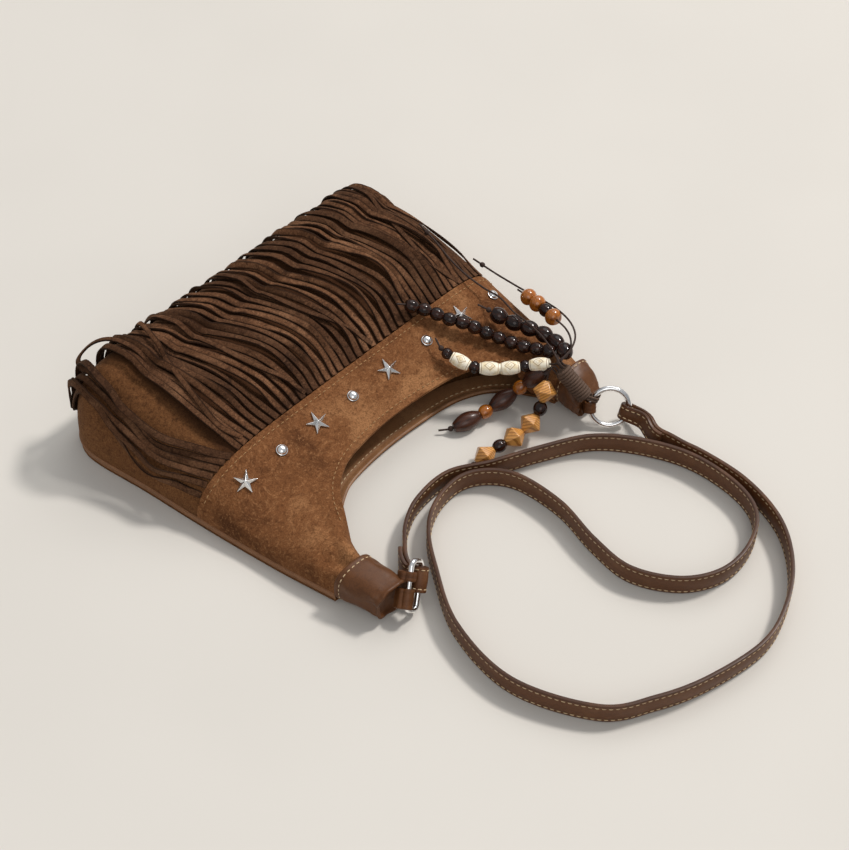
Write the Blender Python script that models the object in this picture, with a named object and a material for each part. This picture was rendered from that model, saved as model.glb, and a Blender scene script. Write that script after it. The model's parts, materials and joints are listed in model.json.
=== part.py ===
"""Fringed suede shoulder bag lying on its back panel, with its strap and bead tassel.

Metres, +Z up out of the front panel, +Y from the bottom of the bag to its mouth and horns.
The origin is on the flat back face under the middle of the bag. Values are written in mm times MM.
"""

import math

import bpy
import numpy as np
from mathutils import Matrix, Vector

MM = 0.001
GAP = 0.3 * MM

# Bag body
BODY_HALF_WIDTH = 124 * MM
WIDEST_AT = -30 * MM
HORN_TAPER = 19.3 * MM
TAPER_SPAN = 184 * MM
BOTTOM_Y = -80 * MM
SEAM_Y = 24 * MM
HORN_END_Y = 121 * MM
CORNER_RADIUS = 22 * MM
LEAN = -0.065
RIGHT_HORN_SLUMP = 9 * MM
SLUMP_FROM_Y = 50 * MM
RIGHT_SIDE_BULGE = 6 * MM
EDGE_HEIGHT = 7 * MM
CREST_HEIGHT = 66 * MM
CREST_Y = -52 * MM
SEAM_HEIGHT = 40 * MM
RIM_HEIGHT = 26 * MM
HORN_HEIGHT = 24 * MM
LEFT_HORN_LIFT = 1.5 * MM
RIGHT_HORN_LIFT = 4 * MM
LIFT_FROM_Y = 78 * MM
PANEL_THICKNESS = 1.6 * MM
FACING_WIDTH = 15 * MM
FACING_THICKNESS = 1.0 * MM

# The mouth is a U cut between the horns, given by half of its rim from the middle out
RIM_HALF = [(0, 62.3), (36, 65.5), (54, 73), (66, 84), (75, 99), (81, 111), (84, 121)]
MOUTH_CLOSES_FROM = 88 * MM
MOUTH_CLOSED_AT = 106 * MM
HORN_EDGE_RADIUS = 9 * MM

# Columns across the body, as shares of the half width, and rows of the yoke from rim to edge
HALF_COLUMNS = [0.16, 0.32, 0.48, 0.63, 0.76, 0.86, 0.93, 0.975, 1.0]
COLUMNS = [-c for c in reversed(HALF_COLUMNS)] + [0.0] + HALF_COLUMNS
YOKE_ROWS = [0.0, 0.18, 0.38, 0.58, 0.75, 0.88, 0.96, 1.0]
BACK_COLUMNS = [-1.0, -0.76, -0.4, 0.0, 0.4, 0.76, 1.0]
BACK_ROWS = [0.0, 0.5, 1.0]
HORN_STEPS = 8
BOTTOM_ROWS = 6
FRONT_ROWS = [-37 * MM, -22 * MM, -6 * MM]

# Fringe
STRIP_COUNT = 44
STRIP_WIDTH = 4.3 * MM
STRIP_THICKNESS = 1.1 * MM
FRINGE_HEADER = 6 * MM
FRINGE_SIDE_SHARE = 0.93
FRINGE_END_ANGLE = math.radians(88)
RUMPLE = 1.6 * MM

# Studs
STUD_ROW_Y = 39.5 * MM
STUD_PITCH = 28.6 * MM
FIRST_STUD_X = 96 * MM
STUD_ROW_MARGIN = 13 * MM
STUD_COUNT = 8
STAR_RADIUS = 8 * MM
STAR_INNER_SHARE = 0.4
STAR_HEIGHT = 2.4 * MM
STAR_RIM = 0.5 * MM
DOME_RADIUS = 3.8 * MM
DOME_HEIGHT = 2.6 * MM

# Horn caps
LEFT_CAP_LENGTH = 28 * MM
RIGHT_CAP_LENGTH = 15.5 * MM
CAP_WALL = 1.8 * MM
CAP_SIDES = 16
CAP_PLEATS = 8
CAP_INWARD = 3.5 * MM

# Rings, tabs and strap
RING_RADIUS = 11.8 * MM
RING_WIRE = 1.7 * MM
RING_CENTRE = (-107.6 * MM, 142 * MM, 12.6 * MM)
RING_TILT = math.radians(60)
RING_TURN = math.radians(134.5)
LOOP_LENGTH = 31 * MM
LOOP_WIDTH = 13.5 * MM
LOOP_WIRE = 1.65 * MM
LOOP_CORNER = 3.2 * MM
LOOP_FOOT = (75.2 * MM, 158.2 * MM, 3.4 * MM)
LOOP_HEAD = (56.8 * MM, 145.6 * MM, 22.6 * MM)
TAB_THICKNESS = 1.8 * MM
TAB_CLEARANCE = 0.6 * MM
LEFT_TAB_WIDTH = 15 * MM
RIGHT_TAB_WIDTH = 6 * MM
LEFT_TAB_SHORT_OF_CAP = 4.6 * MM
RIGHT_TAB_SHORT_OF_CAP = 2.2 * MM
RIGHT_TAB_AT = 180
STRAP_WIDTH = 15 * MM
STRAP_THICKNESS = 2.4 * MM
STRAP_TAIL = 30 * MM
STRAP_STEP = 12 * MM
STRAP_GUIDE = 12 * MM
STRAP_TWIST = 28 * MM
STRAP_WIDTH_AT_RING = 9.5 * MM
STRAP_NARROWS_OVER = 36 * MM
STRAP_AT_RING = -17
STRAP_ON_LOOP = 17.5 * MM
STRAP_MIDDLE_HEIGHT = STRAP_WIDTH / 2 + GAP

# The strap stands on its edge; its route in mm over the surface, from the ring to the loop
STRAP_ROUTE = [
    (-113, 176), (-119, 206), (-120, 238), (-111, 269), (-91, 293), (-65, 308),
    (-37, 314), (1, 307), (30, 295), (56, 277), (76, 232), (71, 186),
    (51, 150), (35, 129), (17, 118), (-4, 115.5), (-20, 124), (-30, 141),
    (-32, 171), (-26, 201), (-25, 229), (-39, 254), (-60, 267), (-84, 267),
    (-105, 256), (-114, 235), (-113, 203), (-101, 174), (-82, 150), (-54, 134),
    (-26, 121), (-2, 108), (24, 109), (43, 118), (57, 130),
]

# Tassel
WRAP_RADIUS = 5.4 * MM
WRAP_LENGTH = 23 * MM
WRAP_TURNS = 10
WRAP_SIDES = 10
WRAP_TOP = (-92, 115, 38)
WRAP_FOOT_TOWARDS = (-97.3, 134.5, 20)
TASSEL_LOOP_AT = 150
CORD_RADIUS = 0.6 * MM
LOOP_CORD_RADIUS = 0.8 * MM
BEAD_HOLE = 1.35 * MM
BEAD_GAP = 1.0 * MM
BEAD_SIDES = 8
THREAD_TAIL = 6 * MM

# Each kind of bead: length, radius and outline as (share of the length, share of the radius)
BEADS = {
    "dark": (7.2 * MM, 4.0 * MM, [(0, 0.45), (0.24, 0.93), (0.76, 0.93), (1, 0.45)]),
    "spacer": (5.2 * MM, 3.6 * MM, [(0, 0.5), (0.5, 1), (1, 0.5)]),
    "black": (9.2 * MM, 4.8 * MM, [(0, 0.45), (0.24, 0.93), (0.76, 0.93), (1, 0.45)]),
    "knot": (3.0 * MM, 1.7 * MM, [(0, 0.5), (0.5, 1), (1, 0.5)]),
    "white": (11.2 * MM, 4.1 * MM, [(0, 0.52), (0.2, 1), (0.8, 1), (1, 0.52)]),
    "bicone": (12.6 * MM, 6.8 * MM, [(0, 0.32), (0.47, 1), (0.53, 1), (1, 0.32)]),
    "olive": (17.2 * MM, 5.3 * MM, [(0, 0.36), (0.22, 0.84), (0.5, 1), (0.78, 0.84), (1, 0.36)]),
    "amber": (7.4 * MM, 4.1 * MM, [(0, 0.46), (0.25, 0.94), (0.75, 0.94), (1, 0.46)]),
}
FUSED_BEADS = ("dark", "spacer", "black", "knot")

# Each strand: where it leaves the wrapping's face, its route in mm and its beads from the free end back
STRANDS = [
    ("strand_small_dark", (-1.0, 0.2),
     [(-98.8, 106.5, 37.5), (-101.6, 98.5, 33.8), (-98.4, 91, 32.4), (-93.5, 83, 31.5), (-92, 76, 31.5),
      (-89.5, 69, 31.5), (-86, 61.5, 33), (-82, 55, 36), (-78.5, 50, 39.5), (-74, 45.5, 41),
      (-70.5, 38, 42.3), (-67, 31, 44.5), (-62, 25, 47), (-57, 20, 50), (-52, 17, 52)],
     ["dark"] * 12),
    ("strand_large_dark", (-3.2, -0.8),
     [(-104, 110.5, 37), (-110, 105.5, 35.5), (-113.5, 93, 34), (-114, 80, 33.5), (-110.5, 72, 33.5),
      (-107.5, 64, 34), (-104, 56, 36.5), (-101, 47.5, 39.5), (-98.5, 40.5, 41.5)],
     ["knot"] + ["black"] * 6),
    ("strand_carved", (0.5, 1.4),
     [(-92.6, 108, 38), (-92, 101, 35.2), (-87, 93.5, 33.2), (-78.8, 86, 32.2), (-70, 77.5, 32.4),
      (-63, 69, 33.3), (-60, 61, 35), (-57.5, 53.5, 37.5), (-57.5, 48, 38.5), (-59.5, 42, 40.5)],
     ["knot", "spacer", "white", "spacer", "white", "white", "spacer", "white"]),
    ("strand_olive", (2.5, 0.0),
     [(-87.2, 105.2, 31.5), (-84.7, 100.1, 24.6), (-81.2, 96, 18), (-76.6, 93, 12.6), (-70.5, 90.8, 9),
      (-62, 88.6, 6.9), (-53, 87.3, 6.5), (-44, 86, 6.3), (-37, 82.5, 4.6), (-32.5, 79.5, 3.2),
      (-28, 75.5, 2.6)],
     ["knot", "olive", "amber", "olive", "amber", "olive"]),
    ("strand_bicone", (3.5, -2.0),
     [(-84.3, 108.6, 34), (-79.3, 110.8, 28), (-74.5, 112.6, 21.5), (-69, 113.4, 15), (-62.5, 113.4, 10.3),
      (-55, 113, 8.6), (-43, 111, 8.2), (-32, 109, 7.8), (-24, 107.5, 5.2), (-19, 106.6, 3.2), (-13, 105, 2)],
     ["knot", "bicone", "dark", "bicone", "bicone", "dark", "bicone"]),
    ("strand_amber", (-2.4, 2.0),
     [(-104, 112.5, 42), (-114, 107.5, 40), (-121.5, 98, 35.5), (-124, 88, 32.5), (-125.5, 79, 31),
      (-126.5, 70, 30), (-127.5, 61, 29.2), (-128, 53, 28.6)],
     ["amber", "amber", "dark", "amber"]),
    ("thin_cord_side", (-1.2, 3.8),
     [(-103, 113.5, 45.5), (-116, 110, 43.5), (-126, 100, 38.5), (-131.5, 86, 33), (-133.5, 70, 28.5),
      (-133.6, 50, 26), (-133, 25, 25.5), (-131.5, 6, 26)],
     ["knot"]),
    ("thin_cord_top", (1.0, 3.6),
     [(-95, 106, 43.5), (-100, 92, 43), (-103, 78, 42), (-103.5, 66, 42), (-105.5, 52, 43.5),
      (-107, 38, 40), (-105, 24, 43.5), (-105, 10, 47.5), (-106.5, -4, 52), (-107.5, -19, 56)],
     ["knot"]),
]


def remove_everything():
    for item in list(bpy.data.objects):
        bpy.data.objects.remove(item, do_unlink=True)


def finish(name, colour, roughness, metallic=0.0):
    """A plain material with the part's colour, roughness and metallic value."""
    made = bpy.data.materials.get(name)
    if made is None:
        made = bpy.data.materials.new(name)
        made.use_nodes = True
        shader = made.node_tree.nodes["Principled BSDF"]
        shader.inputs["Base Color"].default_value = (*colour, 1.0)
        shader.inputs["Roughness"].default_value = roughness
        shader.inputs["Metallic"].default_value = metallic
    return made


def suede():
    return finish("suede", (0.17, 0.075, 0.032), 0.9)


def fringe_suede():
    return finish("fringe_suede", (0.1, 0.045, 0.02), 0.9)


def leather():
    return finish("leather", (0.11, 0.05, 0.022), 0.4)


def polished_metal():
    return finish("polished_metal", (0.8, 0.8, 0.82), 0.15, 1.0)


def add_object(name, verts, faces, material, smooth_angle=None):
    mesh = bpy.data.meshes.new(name)
    mesh.from_pydata([tuple(v) for v in verts], [], [tuple(f) for f in faces])
    mesh.materials.append(material)
    made = bpy.data.objects.new(name, mesh)
    bpy.context.scene.collection.objects.link(made)
    if smooth_angle is not None:
        mesh.shade_smooth()
        mesh.set_sharp_from_angle(angle=math.radians(smooth_angle))
    return made


def smoothstep(low, high, value):
    t = min(1.0, max(0.0, (value - low) / (high - low)))
    return t * t * (3 - 2 * t)


def smooth_line(points, step):
    """Points about a step apart on a smooth curve through the given ones."""
    pts = [np.array(p, float) for p in points]
    pts = [2 * pts[0] - pts[1], *pts, 2 * pts[-1] - pts[-2]]
    fine = []
    for a, b, c, d in zip(pts, pts[1:], pts[2:], pts[3:]):
        for k in range(24):
            t = k / 24
            fine.append(0.5 * (2 * b + (c - a) * t + (2 * a - 5 * b + 4 * c - d) * t**2
                               + (3 * b - a - 3 * c + d) * t**3))
    fine.append(pts[-2])
    return spaced(fine, step)


def spaced(fine, step):
    """The same line with points evenly spaced, about a step apart."""
    fine = np.array(fine)
    along = np.concatenate([[0], np.cumsum(np.linalg.norm(np.diff(fine, axis=0), axis=1))])
    count = max(2, round(along[-1] / step) + 1)
    at = np.linspace(0, along[-1], count)
    return np.stack([np.interp(at, along, fine[:, k]) for k in range(fine.shape[1])], axis=1)


def sheet_solid(name, outer, inner, faces, material, smooth_angle=50):
    """A closed solid between an outer and an inner surface that share their faces."""
    count = len(outer)
    flipped = [tuple(count + v for v in reversed(f)) for f in faces]
    used = {}
    for face in faces:
        for a, b in zip(face, face[1:] + face[:1]):
            used[(a, b)] = True
    walls = [(b, a, count + a, count + b) for a, b in used if (b, a) not in used]
    return add_object(name, [*outer, *inner], [*faces, *flipped, *walls], material, smooth_angle)


def grid_faces(rows, columns, closed=False):
    faces = []
    last = columns if closed else columns - 1
    for i in range(rows - 1):
        for j in range(last):
            k = (j + 1) % columns
            faces.append((i * columns + j, i * columns + k,
                          (i + 1) * columns + k, (i + 1) * columns + j))
    return faces


# Shape of the bag

def lean(x, y, z):
    """A point of the straight pattern, moved to where the leaning, slumped horns put it."""
    right_side = smoothstep(0, BODY_HALF_WIDTH / 2, -x)
    slump = smoothstep(SLUMP_FROM_Y, HORN_END_Y, y) * right_side
    bulge = smoothstep(-60 * MM, 0, y) * (1 - smoothstep(80 * MM, HORN_END_Y, y)) * right_side
    return Vector((x + LEAN * y - RIGHT_SIDE_BULGE * bulge, y - RIGHT_HORN_SLUMP * slump, z))


def corner_share(y):
    """How far the bottom corners are rounded off at this height of the pattern."""
    t = min(1.0, max(0.0, (BOTTOM_Y + CORNER_RADIUS - y) / CORNER_RADIUS))
    return CORNER_RADIUS * (1 - math.sqrt(1 - t * t)) * 0.55


def half_width(y):
    taper = HORN_TAPER * (abs(y - WIDEST_AT) / TAPER_SPAN) ** 1.5
    return BODY_HALF_WIDTH - taper - corner_share(y)


def middle_height(y):
    """Height of the front along the middle line."""
    if y < CREST_Y:
        t = min(1.0, (CREST_Y - y) / (CREST_Y - BOTTOM_Y))
        base = EDGE_HEIGHT + GAP
        return base + (CREST_HEIGHT - base) * (1 - t**3) ** (1 / 3)
    rim_y = RIM_HALF[0][1] * MM
    marks = [CREST_Y, SEAM_Y, rim_y, HORN_END_Y]
    heights = [CREST_HEIGHT, SEAM_HEIGHT, RIM_HEIGHT, HORN_HEIGHT]
    straight = float(np.interp(y, marks, heights))
    rounding = 5 * MM * math.exp(-((y - CREST_Y) / (18 * MM)) ** 2)
    return straight - rounding * smoothstep(CREST_Y, CREST_Y + 12 * MM, y)


def boxiness(x, y):
    """Power of the cross profile: high is boxy, as at the bottom and in the horns."""
    low_end = 14 - 8.5 * smoothstep(BOTTOM_Y, -5 * MM, y)
    fuller_right = 4 * smoothstep(0, BODY_HALF_WIDTH / 2, -x)
    return low_end + fuller_right + 6 * smoothstep(60 * MM, 110 * MM, y)


def lift(x, y):
    rise = LEFT_HORN_LIFT if x > 0 else RIGHT_HORN_LIFT
    return rise * smoothstep(LIFT_FROM_Y, HORN_END_Y, y)


def front_height(x, y):
    share = min(1.0, abs(x) / half_width(y))
    profile = math.sqrt(max(0.0, 1 - share ** boxiness(x, y)))
    return EDGE_HEIGHT + GAP + (middle_height(y) - EDGE_HEIGHT - GAP) * profile


def rim_line(steps):
    """The rim of the mouth from the left horn round to the right one."""
    half = [(x * MM, y * MM) for x, y in RIM_HALF]
    left = [(x, y) for x, y in reversed(half)]
    right = [(-x, y) for x, y in half[1:]]
    fine = smooth_line(left + right, 2 * MM)
    return spaced(fine, np.linalg.norm(np.diff(fine, axis=0), axis=1).sum() / steps)


def front_rows():
    """Heights of the pattern for the rows of the front panel, closer where it turns down."""
    turn = CREST_Y - BOTTOM_Y
    down = [CREST_Y - turn * math.sin(math.radians(90 * k / BOTTOM_ROWS)) ** (2 / 3)
            for k in range(BOTTOM_ROWS, 0, -1)]
    return down + [CREST_Y, *FRONT_ROWS, SEAM_Y]


def front_point(share, y, raise_by=0.0):
    """A point of the front surface, or that far above it along its normal."""
    def at(s, v):
        x = s * half_width(v)
        return lean(x, v, front_height(x, v))
    here = at(share, y)
    if raise_by == 0.0:
        return here
    nudge = 0.6 * MM
    low = max(BOTTOM_Y, y - nudge)
    across = at(min(0.999, share + 0.004), y) - at(max(-0.999, share - 0.004), y)
    along = at(share, y + nudge) - at(share, low)
    return here + across.cross(along).normalized() * raise_by


def inner_points(outer, faces, thickness, fixed):
    """The outer points moved in by the thickness; fixed names the axes an edge keeps."""
    mesh = bpy.data.meshes.new("normals")
    mesh.from_pydata([tuple(v) for v in outer], [], faces)
    normals = [v.normal.copy() for v in mesh.vertices]
    bpy.data.meshes.remove(mesh)
    inner = []
    for k, (point, normal) in enumerate(zip(outer, normals)):
        if k in fixed:
            for axis in fixed[k]:
                normal[axis] = 0.0
            normal.normalize()
        inner.append(point - normal * thickness)
    return inner


def front_panel():
    rows = front_rows()
    wide = len(COLUMNS)
    outer = [front_point(c, y) for y in rows for c in COLUMNS]
    fixed = {}
    for i in range(len(rows)):
        for j in range(wide):
            if i == 0 or j in (0, wide - 1):
                fixed[i * wide + j] = (2,)
            elif i == len(rows) - 1:
                fixed[i * wide + j] = (1,)
    faces = grid_faces(len(rows), wide)
    inner = inner_points(outer, faces, PANEL_THICKNESS, fixed)
    return sheet_solid("front_panel", outer, inner, faces, suede())


def yoke_outline(seam_y, columns):
    """Outer edge of the yoke: down the left side, along the seam and up the right side."""
    side = [(half_width(y), y) for y in np.linspace(HORN_END_Y, seam_y, HORN_STEPS + 1)]
    seam = [(-c * half_width(seam_y), seam_y) for c in columns[1:-1]]
    return side + seam + [(-x, y) for x, y in reversed(side)]


def yoke_plan(seam_y, shares, columns):
    """Plan points of the yoke, from the rim out, and how far in from the rim each is."""
    edge = yoke_outline(seam_y, columns)
    rim = rim_line(len(edge) - 1)
    points = []
    for share in shares:
        for (rx, ry), (ex, ey) in zip(rim, edge):
            x = rx + (ex - rx) * share
            y = ry + (ey - ry) * share
            points.append((x, y, math.hypot(x - rx, y - ry)))
    return points, len(edge)


def yoke_height(x, y, from_rim):
    """Height of the yoke, which comes down to the back where the mouth is closed."""
    high = front_height(x, y)
    closed = smoothstep(MOUTH_CLOSES_FROM, MOUTH_CLOSED_AT, y)
    reach = min(1.0, from_rim / HORN_EDGE_RADIUS)
    arch = math.sqrt(max(0.0, 1 - (1 - reach) ** 2))
    low = PANEL_THICKNESS + GAP + 1.2 * MM
    return high + (low + (high - low) * arch - high) * closed + lift(x, y)


def yoke_panel():
    plan, wide = yoke_plan(SEAM_Y + GAP, YOKE_ROWS, COLUMNS)
    outer = [lean(x, y, yoke_height(x, y, d)) for x, y, d in plan]
    faces = grid_faces(len(YOKE_ROWS), wide)
    fixed = {}
    last = (len(YOKE_ROWS) - 1) * wide
    for j in range(wide):
        on_seam = HORN_STEPS < j < wide - 1 - HORN_STEPS
        fixed[last + j] = (1,) if on_seam else (2,)
    for i in range(len(YOKE_ROWS)):
        keeps = (1,) if i < len(YOKE_ROWS) - 1 else (1, 2)
        fixed[i * wide] = keeps
        fixed[i * wide + wide - 1] = keeps
    inner = inner_points(outer, faces, PANEL_THICKNESS, fixed)
    return sheet_solid("yoke_panel", outer, inner, faces, suede())


def back_panel():
    """Flat on the surface it lies on, apart from the horns, which lift a little."""
    rows = [y for y in front_rows() if y <= CREST_Y] + [(CREST_Y + SEAM_Y) / 2]
    wide = len(BACK_COLUMNS)
    low = [(c * half_width(y), y) for y in rows for c in BACK_COLUMNS]
    faces = grid_faces(len(rows), wide)
    plan, across = yoke_plan(SEAM_Y, BACK_ROWS, BACK_COLUMNS)
    start = len(low)
    points = low + [(x, y) for x, y, _ in plan]
    for face in grid_faces(len(BACK_ROWS), across):
        faces.append(tuple(start + v for v in face))
    seam_row = start + (len(BACK_ROWS) - 1) * across + HORN_STEPS
    body_row = start - wide
    for j in range(wide - 1):
        faces.append((body_row + j, body_row + j + 1,
                      seam_row + wide - 2 - j, seam_row + wide - 1 - j))
    top = [lean(x, y, PANEL_THICKNESS + lift(x, y)) for x, y in points]
    bottom = [lean(x, y, lift(x, y)) for x, y in points]
    return sheet_solid("back_panel", top, bottom, faces, suede())


def gusset_strip():
    """The low wall between back and front panels, round the sides and the bottom."""
    ys = list(np.linspace(HORN_END_Y, SEAM_Y, HORN_STEPS + 1))
    ys += list(reversed(front_rows()))[1:]
    left = [(half_width(y), y) for y in ys]
    bottom = [(c * half_width(BOTTOM_Y), BOTTOM_Y) for c in reversed(COLUMNS[1:-1])]
    line = left + bottom + [(-x, y) for x, y in reversed(left)]
    outer, inner = [], []
    low = PANEL_THICKNESS + GAP
    for level in (low, EDGE_HEIGHT):
        for k, (x, y) in enumerate(line):
            before = Vector(line[max(0, k - 1)])
            after = Vector(line[min(len(line) - 1, k + 1)])
            run = (after - before).normalized()
            inward = Vector((run.y, -run.x))
            if k in (0, len(line) - 1):
                inward = Vector((-math.copysign(1, x), 0))
            ix = x - math.copysign(1, x) * abs(inward.x) * PANEL_THICKNESS
            iy = y + abs(inward.y) * PANEL_THICKNESS * (1 if y < CREST_Y else 0)
            outer.append(lean(x, y, level + lift(x, y)))
            inner.append(lean(ix, iy, level + lift(x, y)))
    faces = [tuple(reversed(f)) for f in grid_faces(2, len(line))]
    return sheet_solid("gusset_strip", outer, inner, faces, leather())


def mouth_facing():
    """Leather facing on the inside of the back panel along the mouth."""
    rim = rim_line(36)[4:-4]
    outer, under = [], []
    for shift in (0.0, 1.0):
        for k, (x, y) in enumerate(rim):
            before = Vector(rim[max(0, k - 1)])
            after = Vector(rim[min(len(rim) - 1, k + 1)])
            run = (after - before).normalized()
            away = Vector((run.y, -run.x))
            if away.y > 0:
                away = -away
            px = x + away.x * shift * FACING_WIDTH
            py = y + away.y * shift * FACING_WIDTH
            base = PANEL_THICKNESS + GAP + lift(px, py)
            outer.append(lean(px, py, base + FACING_THICKNESS))
            under.append(lean(px, py, base))
    faces = grid_faces(2, len(rim))
    return sheet_solid("mouth_facing", outer, under, faces, leather())


def fringe():
    """One cut piece: a header under the yoke seam with strips that hang over the bottom."""
    rows = [SEAM_Y - GAP, SEAM_Y - FRINGE_HEADER, *reversed(front_rows()[1:-1])]
    rows.append(CREST_Y - (CREST_Y - BOTTOM_Y) * math.sin(FRINGE_END_ANGLE) ** (2 / 3))
    pitch = 2 * FRINGE_SIDE_SHARE / STRIP_COUNT
    outer, inner, faces = [], [], []
    wide = 2 * STRIP_COUNT
    for i, y in enumerate(rows):
        for k in range(STRIP_COUNT):
            middle = -FRINGE_SIDE_SHARE + (k + 0.5) * pitch
            drift = 0.011 * math.sin(2.2 * i + 1.3) * min(1.0, i / 3) * math.sin(5 * middle + 0.9 * i)
            rumple = RUMPLE * (1 + math.sin(2.1 * k + 1.1 * i)) * min(1.0, i / 3) / 2
            for side in (-1, 1):
                share = middle + drift + side * STRIP_WIDTH / 2 / half_width(y)
                outer.append(front_point(share, y, GAP + rumple + STRIP_THICKNESS))
                inner.append(front_point(share, y, GAP + rumple))
    for i in range(len(rows) - 1):
        for j in range(wide - 1):
            if j % 2 == 0 or i == 0:
                a = i * wide + j
                faces.append((a, a + wide, a + wide + 1, a + 1))
    return sheet_solid("fringe", outer, inner, faces, fringe_suede())


# Studs on the yoke

def seat_on_yoke(made, x, y):
    """Puts a stud flat on the yoke, with its axis along the surface's normal."""
    nudge = 3 * MM

    def at(u, v):
        return lean(u, v, front_height(u, v))
    across = at(x + nudge, y) - at(x - nudge, y)
    along = at(x, y + nudge) - at(x, y - nudge)
    up = across.cross(along).normalized()
    turn = up.to_track_quat("Z", "Y").to_matrix().to_4x4()
    made.matrix_world = Matrix.Translation(at(x, y) + up * (GAP + 0.25 * MM)) @ turn


def star_stud(number, x):
    points = [(0, 0, STAR_HEIGHT), (0, 0, 0)]
    for k in range(10):
        radius = STAR_RADIUS if k % 2 == 0 else STAR_RADIUS * STAR_INNER_SHARE
        angle = math.radians(36 * k + 8)
        points.append((radius * math.sin(angle), radius * math.cos(angle), STAR_RIM))
        points.append((radius * math.sin(angle), radius * math.cos(angle), 0))
    faces = []
    for k in range(10):
        a = 2 + 2 * k
        b = 2 + 2 * ((k + 1) % 10)
        faces += [(0, b, a), (a, b, b + 1, a + 1), (1, a + 1, b + 1)]
    made = add_object(f"star_stud_{number}", points, faces, polished_metal())
    seat_on_yoke(made, x, STUD_ROW_Y)
    return made


def turned(name, profile, sides, material, smooth_angle=40):
    """A solid turned about Z from (radius, height) points, bottom to top."""
    verts, faces, rings = [], [], []
    for radius, height in profile:
        if radius == 0:
            rings.append([len(verts)])
            verts.append((0, 0, height))
            continue
        rings.append(list(range(len(verts), len(verts) + sides)))
        for k in range(sides):
            angle = 2 * math.pi * k / sides
            verts.append((radius * math.cos(angle), radius * math.sin(angle), height))
    pairs = list(zip(rings, rings[1:]))
    if len(rings[0]) > 1 and len(rings[-1]) > 1:
        pairs.append((rings[-1], rings[0]))
    for low, high in pairs:
        for k in range(sides):
            n = (k + 1) % sides
            if len(low) == 1:
                faces.append((low[0], high[n], high[k]))
            elif len(high) == 1:
                faces.append((low[k], low[n], high[0]))
            else:
                faces.append((low[k], low[n], high[n], high[k]))
    return add_object(name, verts, faces, material, smooth_angle)


def dome_stud(number, x):
    profile = [(0, 0), (DOME_RADIUS, 0), (DOME_RADIUS, 0.5 * MM)]
    for k in range(1, 3):
        angle = math.radians(90 * k / 3)
        profile.append((DOME_RADIUS * math.cos(angle),
                        0.5 * MM + (DOME_HEIGHT - 0.5 * MM) * math.sin(angle)))
    profile.append((0, DOME_HEIGHT))
    made = turned(f"dome_stud_{number}", profile, 10, polished_metal())
    seat_on_yoke(made, x, STUD_ROW_Y)
    return made


def studs():
    """Stars and domes in a row, closed up where the yoke is too narrow for their pitch."""
    room = FIRST_STUD_X + half_width(STUD_ROW_Y) - STUD_ROW_MARGIN
    pitch = min(STUD_PITCH, room / (STUD_COUNT - 1))
    for k in range(STUD_COUNT):
        x = FIRST_STUD_X - k * pitch
        if k % 2 == 0:
            star_stud(k // 2 + 1, x)
        else:
            dome_stud(k // 2 + 1, x)


# Horn caps

def horn_cap(name, side, length, end_drop):
    """Padded leather sleeve on a horn, gathered at its closed end, which may drop lower."""
    rise = LEFT_HORN_LIFT if side > 0 else RIGHT_HORN_LIFT
    inner_x = RIM_HALF[-1][0] * MM
    outer_x = half_width(HORN_END_Y)
    middle = (inner_x + outer_x) / 2
    half_a = (outer_x - inner_x) / 2 + 0.8 * MM
    half_b = HORN_HEIGHT / 2 + 0.6 * MM
    shape = [(0.0, 1.0, 1.0, 0.0), (0.2, 1.0, 1.0, 0.0), (0.45, 0.97, 1.0, 0.1), (0.7, 0.86, 0.99, 0.35),
             (0.88, 0.76, 0.97, 0.7), (0.97, 0.68, 0.9, 1.0), (1.0, 0.5, 0.7, 1.0)]
    outer, inner = [], []
    for along, wide, high, pleat in shape:
        y = HORN_END_Y + GAP + along * length
        high *= 1 - end_drop * along**2
        centre_x = side * (middle - CAP_INWARD * along)
        centre_z = half_b * (1 - end_drop * along**2) + rise
        for k in range(CAP_SIDES):
            angle = 2 * math.pi * k / CAP_SIDES
            fold = 1 - 0.07 * pleat * (1 + math.cos(CAP_PLEATS * angle + 1.0)) / 2
            power = 0.72
            cx = math.copysign(abs(math.cos(angle)) ** power, math.cos(angle))
            cz = math.copysign(abs(math.sin(angle)) ** power, math.sin(angle))
            for points, less in ((outer, 0.0), (inner, CAP_WALL)):
                a = half_a * wide * fold - less
                b = half_b * high * fold - less
                dy = -less if along > 0.95 else 0.0
                points.append(lean(centre_x + cx * a, y + dy, centre_z + cz * b))
    faces = [tuple(reversed(f)) for f in grid_faces(len(shape), CAP_SIDES, closed=True)]
    last = (len(shape) - 1) * CAP_SIDES
    end_y = HORN_END_Y + GAP + length
    outer.append(lean(centre_x, end_y, centre_z))
    inner.append(lean(centre_x, end_y - CAP_WALL, centre_z))
    faces += [(last + (k + 1) % CAP_SIDES, last + k, len(outer) - 1) for k in range(CAP_SIDES)]
    return sheet_solid(name, outer, inner, faces, leather())


# Rings

def wire_loop(name, path, normals, radius, sides, material):
    """A closed wire of round section along a closed path."""
    count = len(path)
    verts, faces = [], []
    for k in range(count):
        run = (path[(k + 1) % count] - path[k - 1]).normalized()
        up = normals[k] if isinstance(normals, list) else normals
        side = run.cross(up).normalized()
        for j in range(sides):
            angle = 2 * math.pi * j / sides
            verts.append(path[k] + side * radius * math.cos(angle) + up * radius * math.sin(angle))
    for k in range(count):
        n = (k + 1) % count
        for j in range(sides):
            m = (j + 1) % sides
            faces.append((k * sides + m, k * sides + j, n * sides + j, n * sides + m))
    return add_object(name, verts, faces, material, 50)


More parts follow.
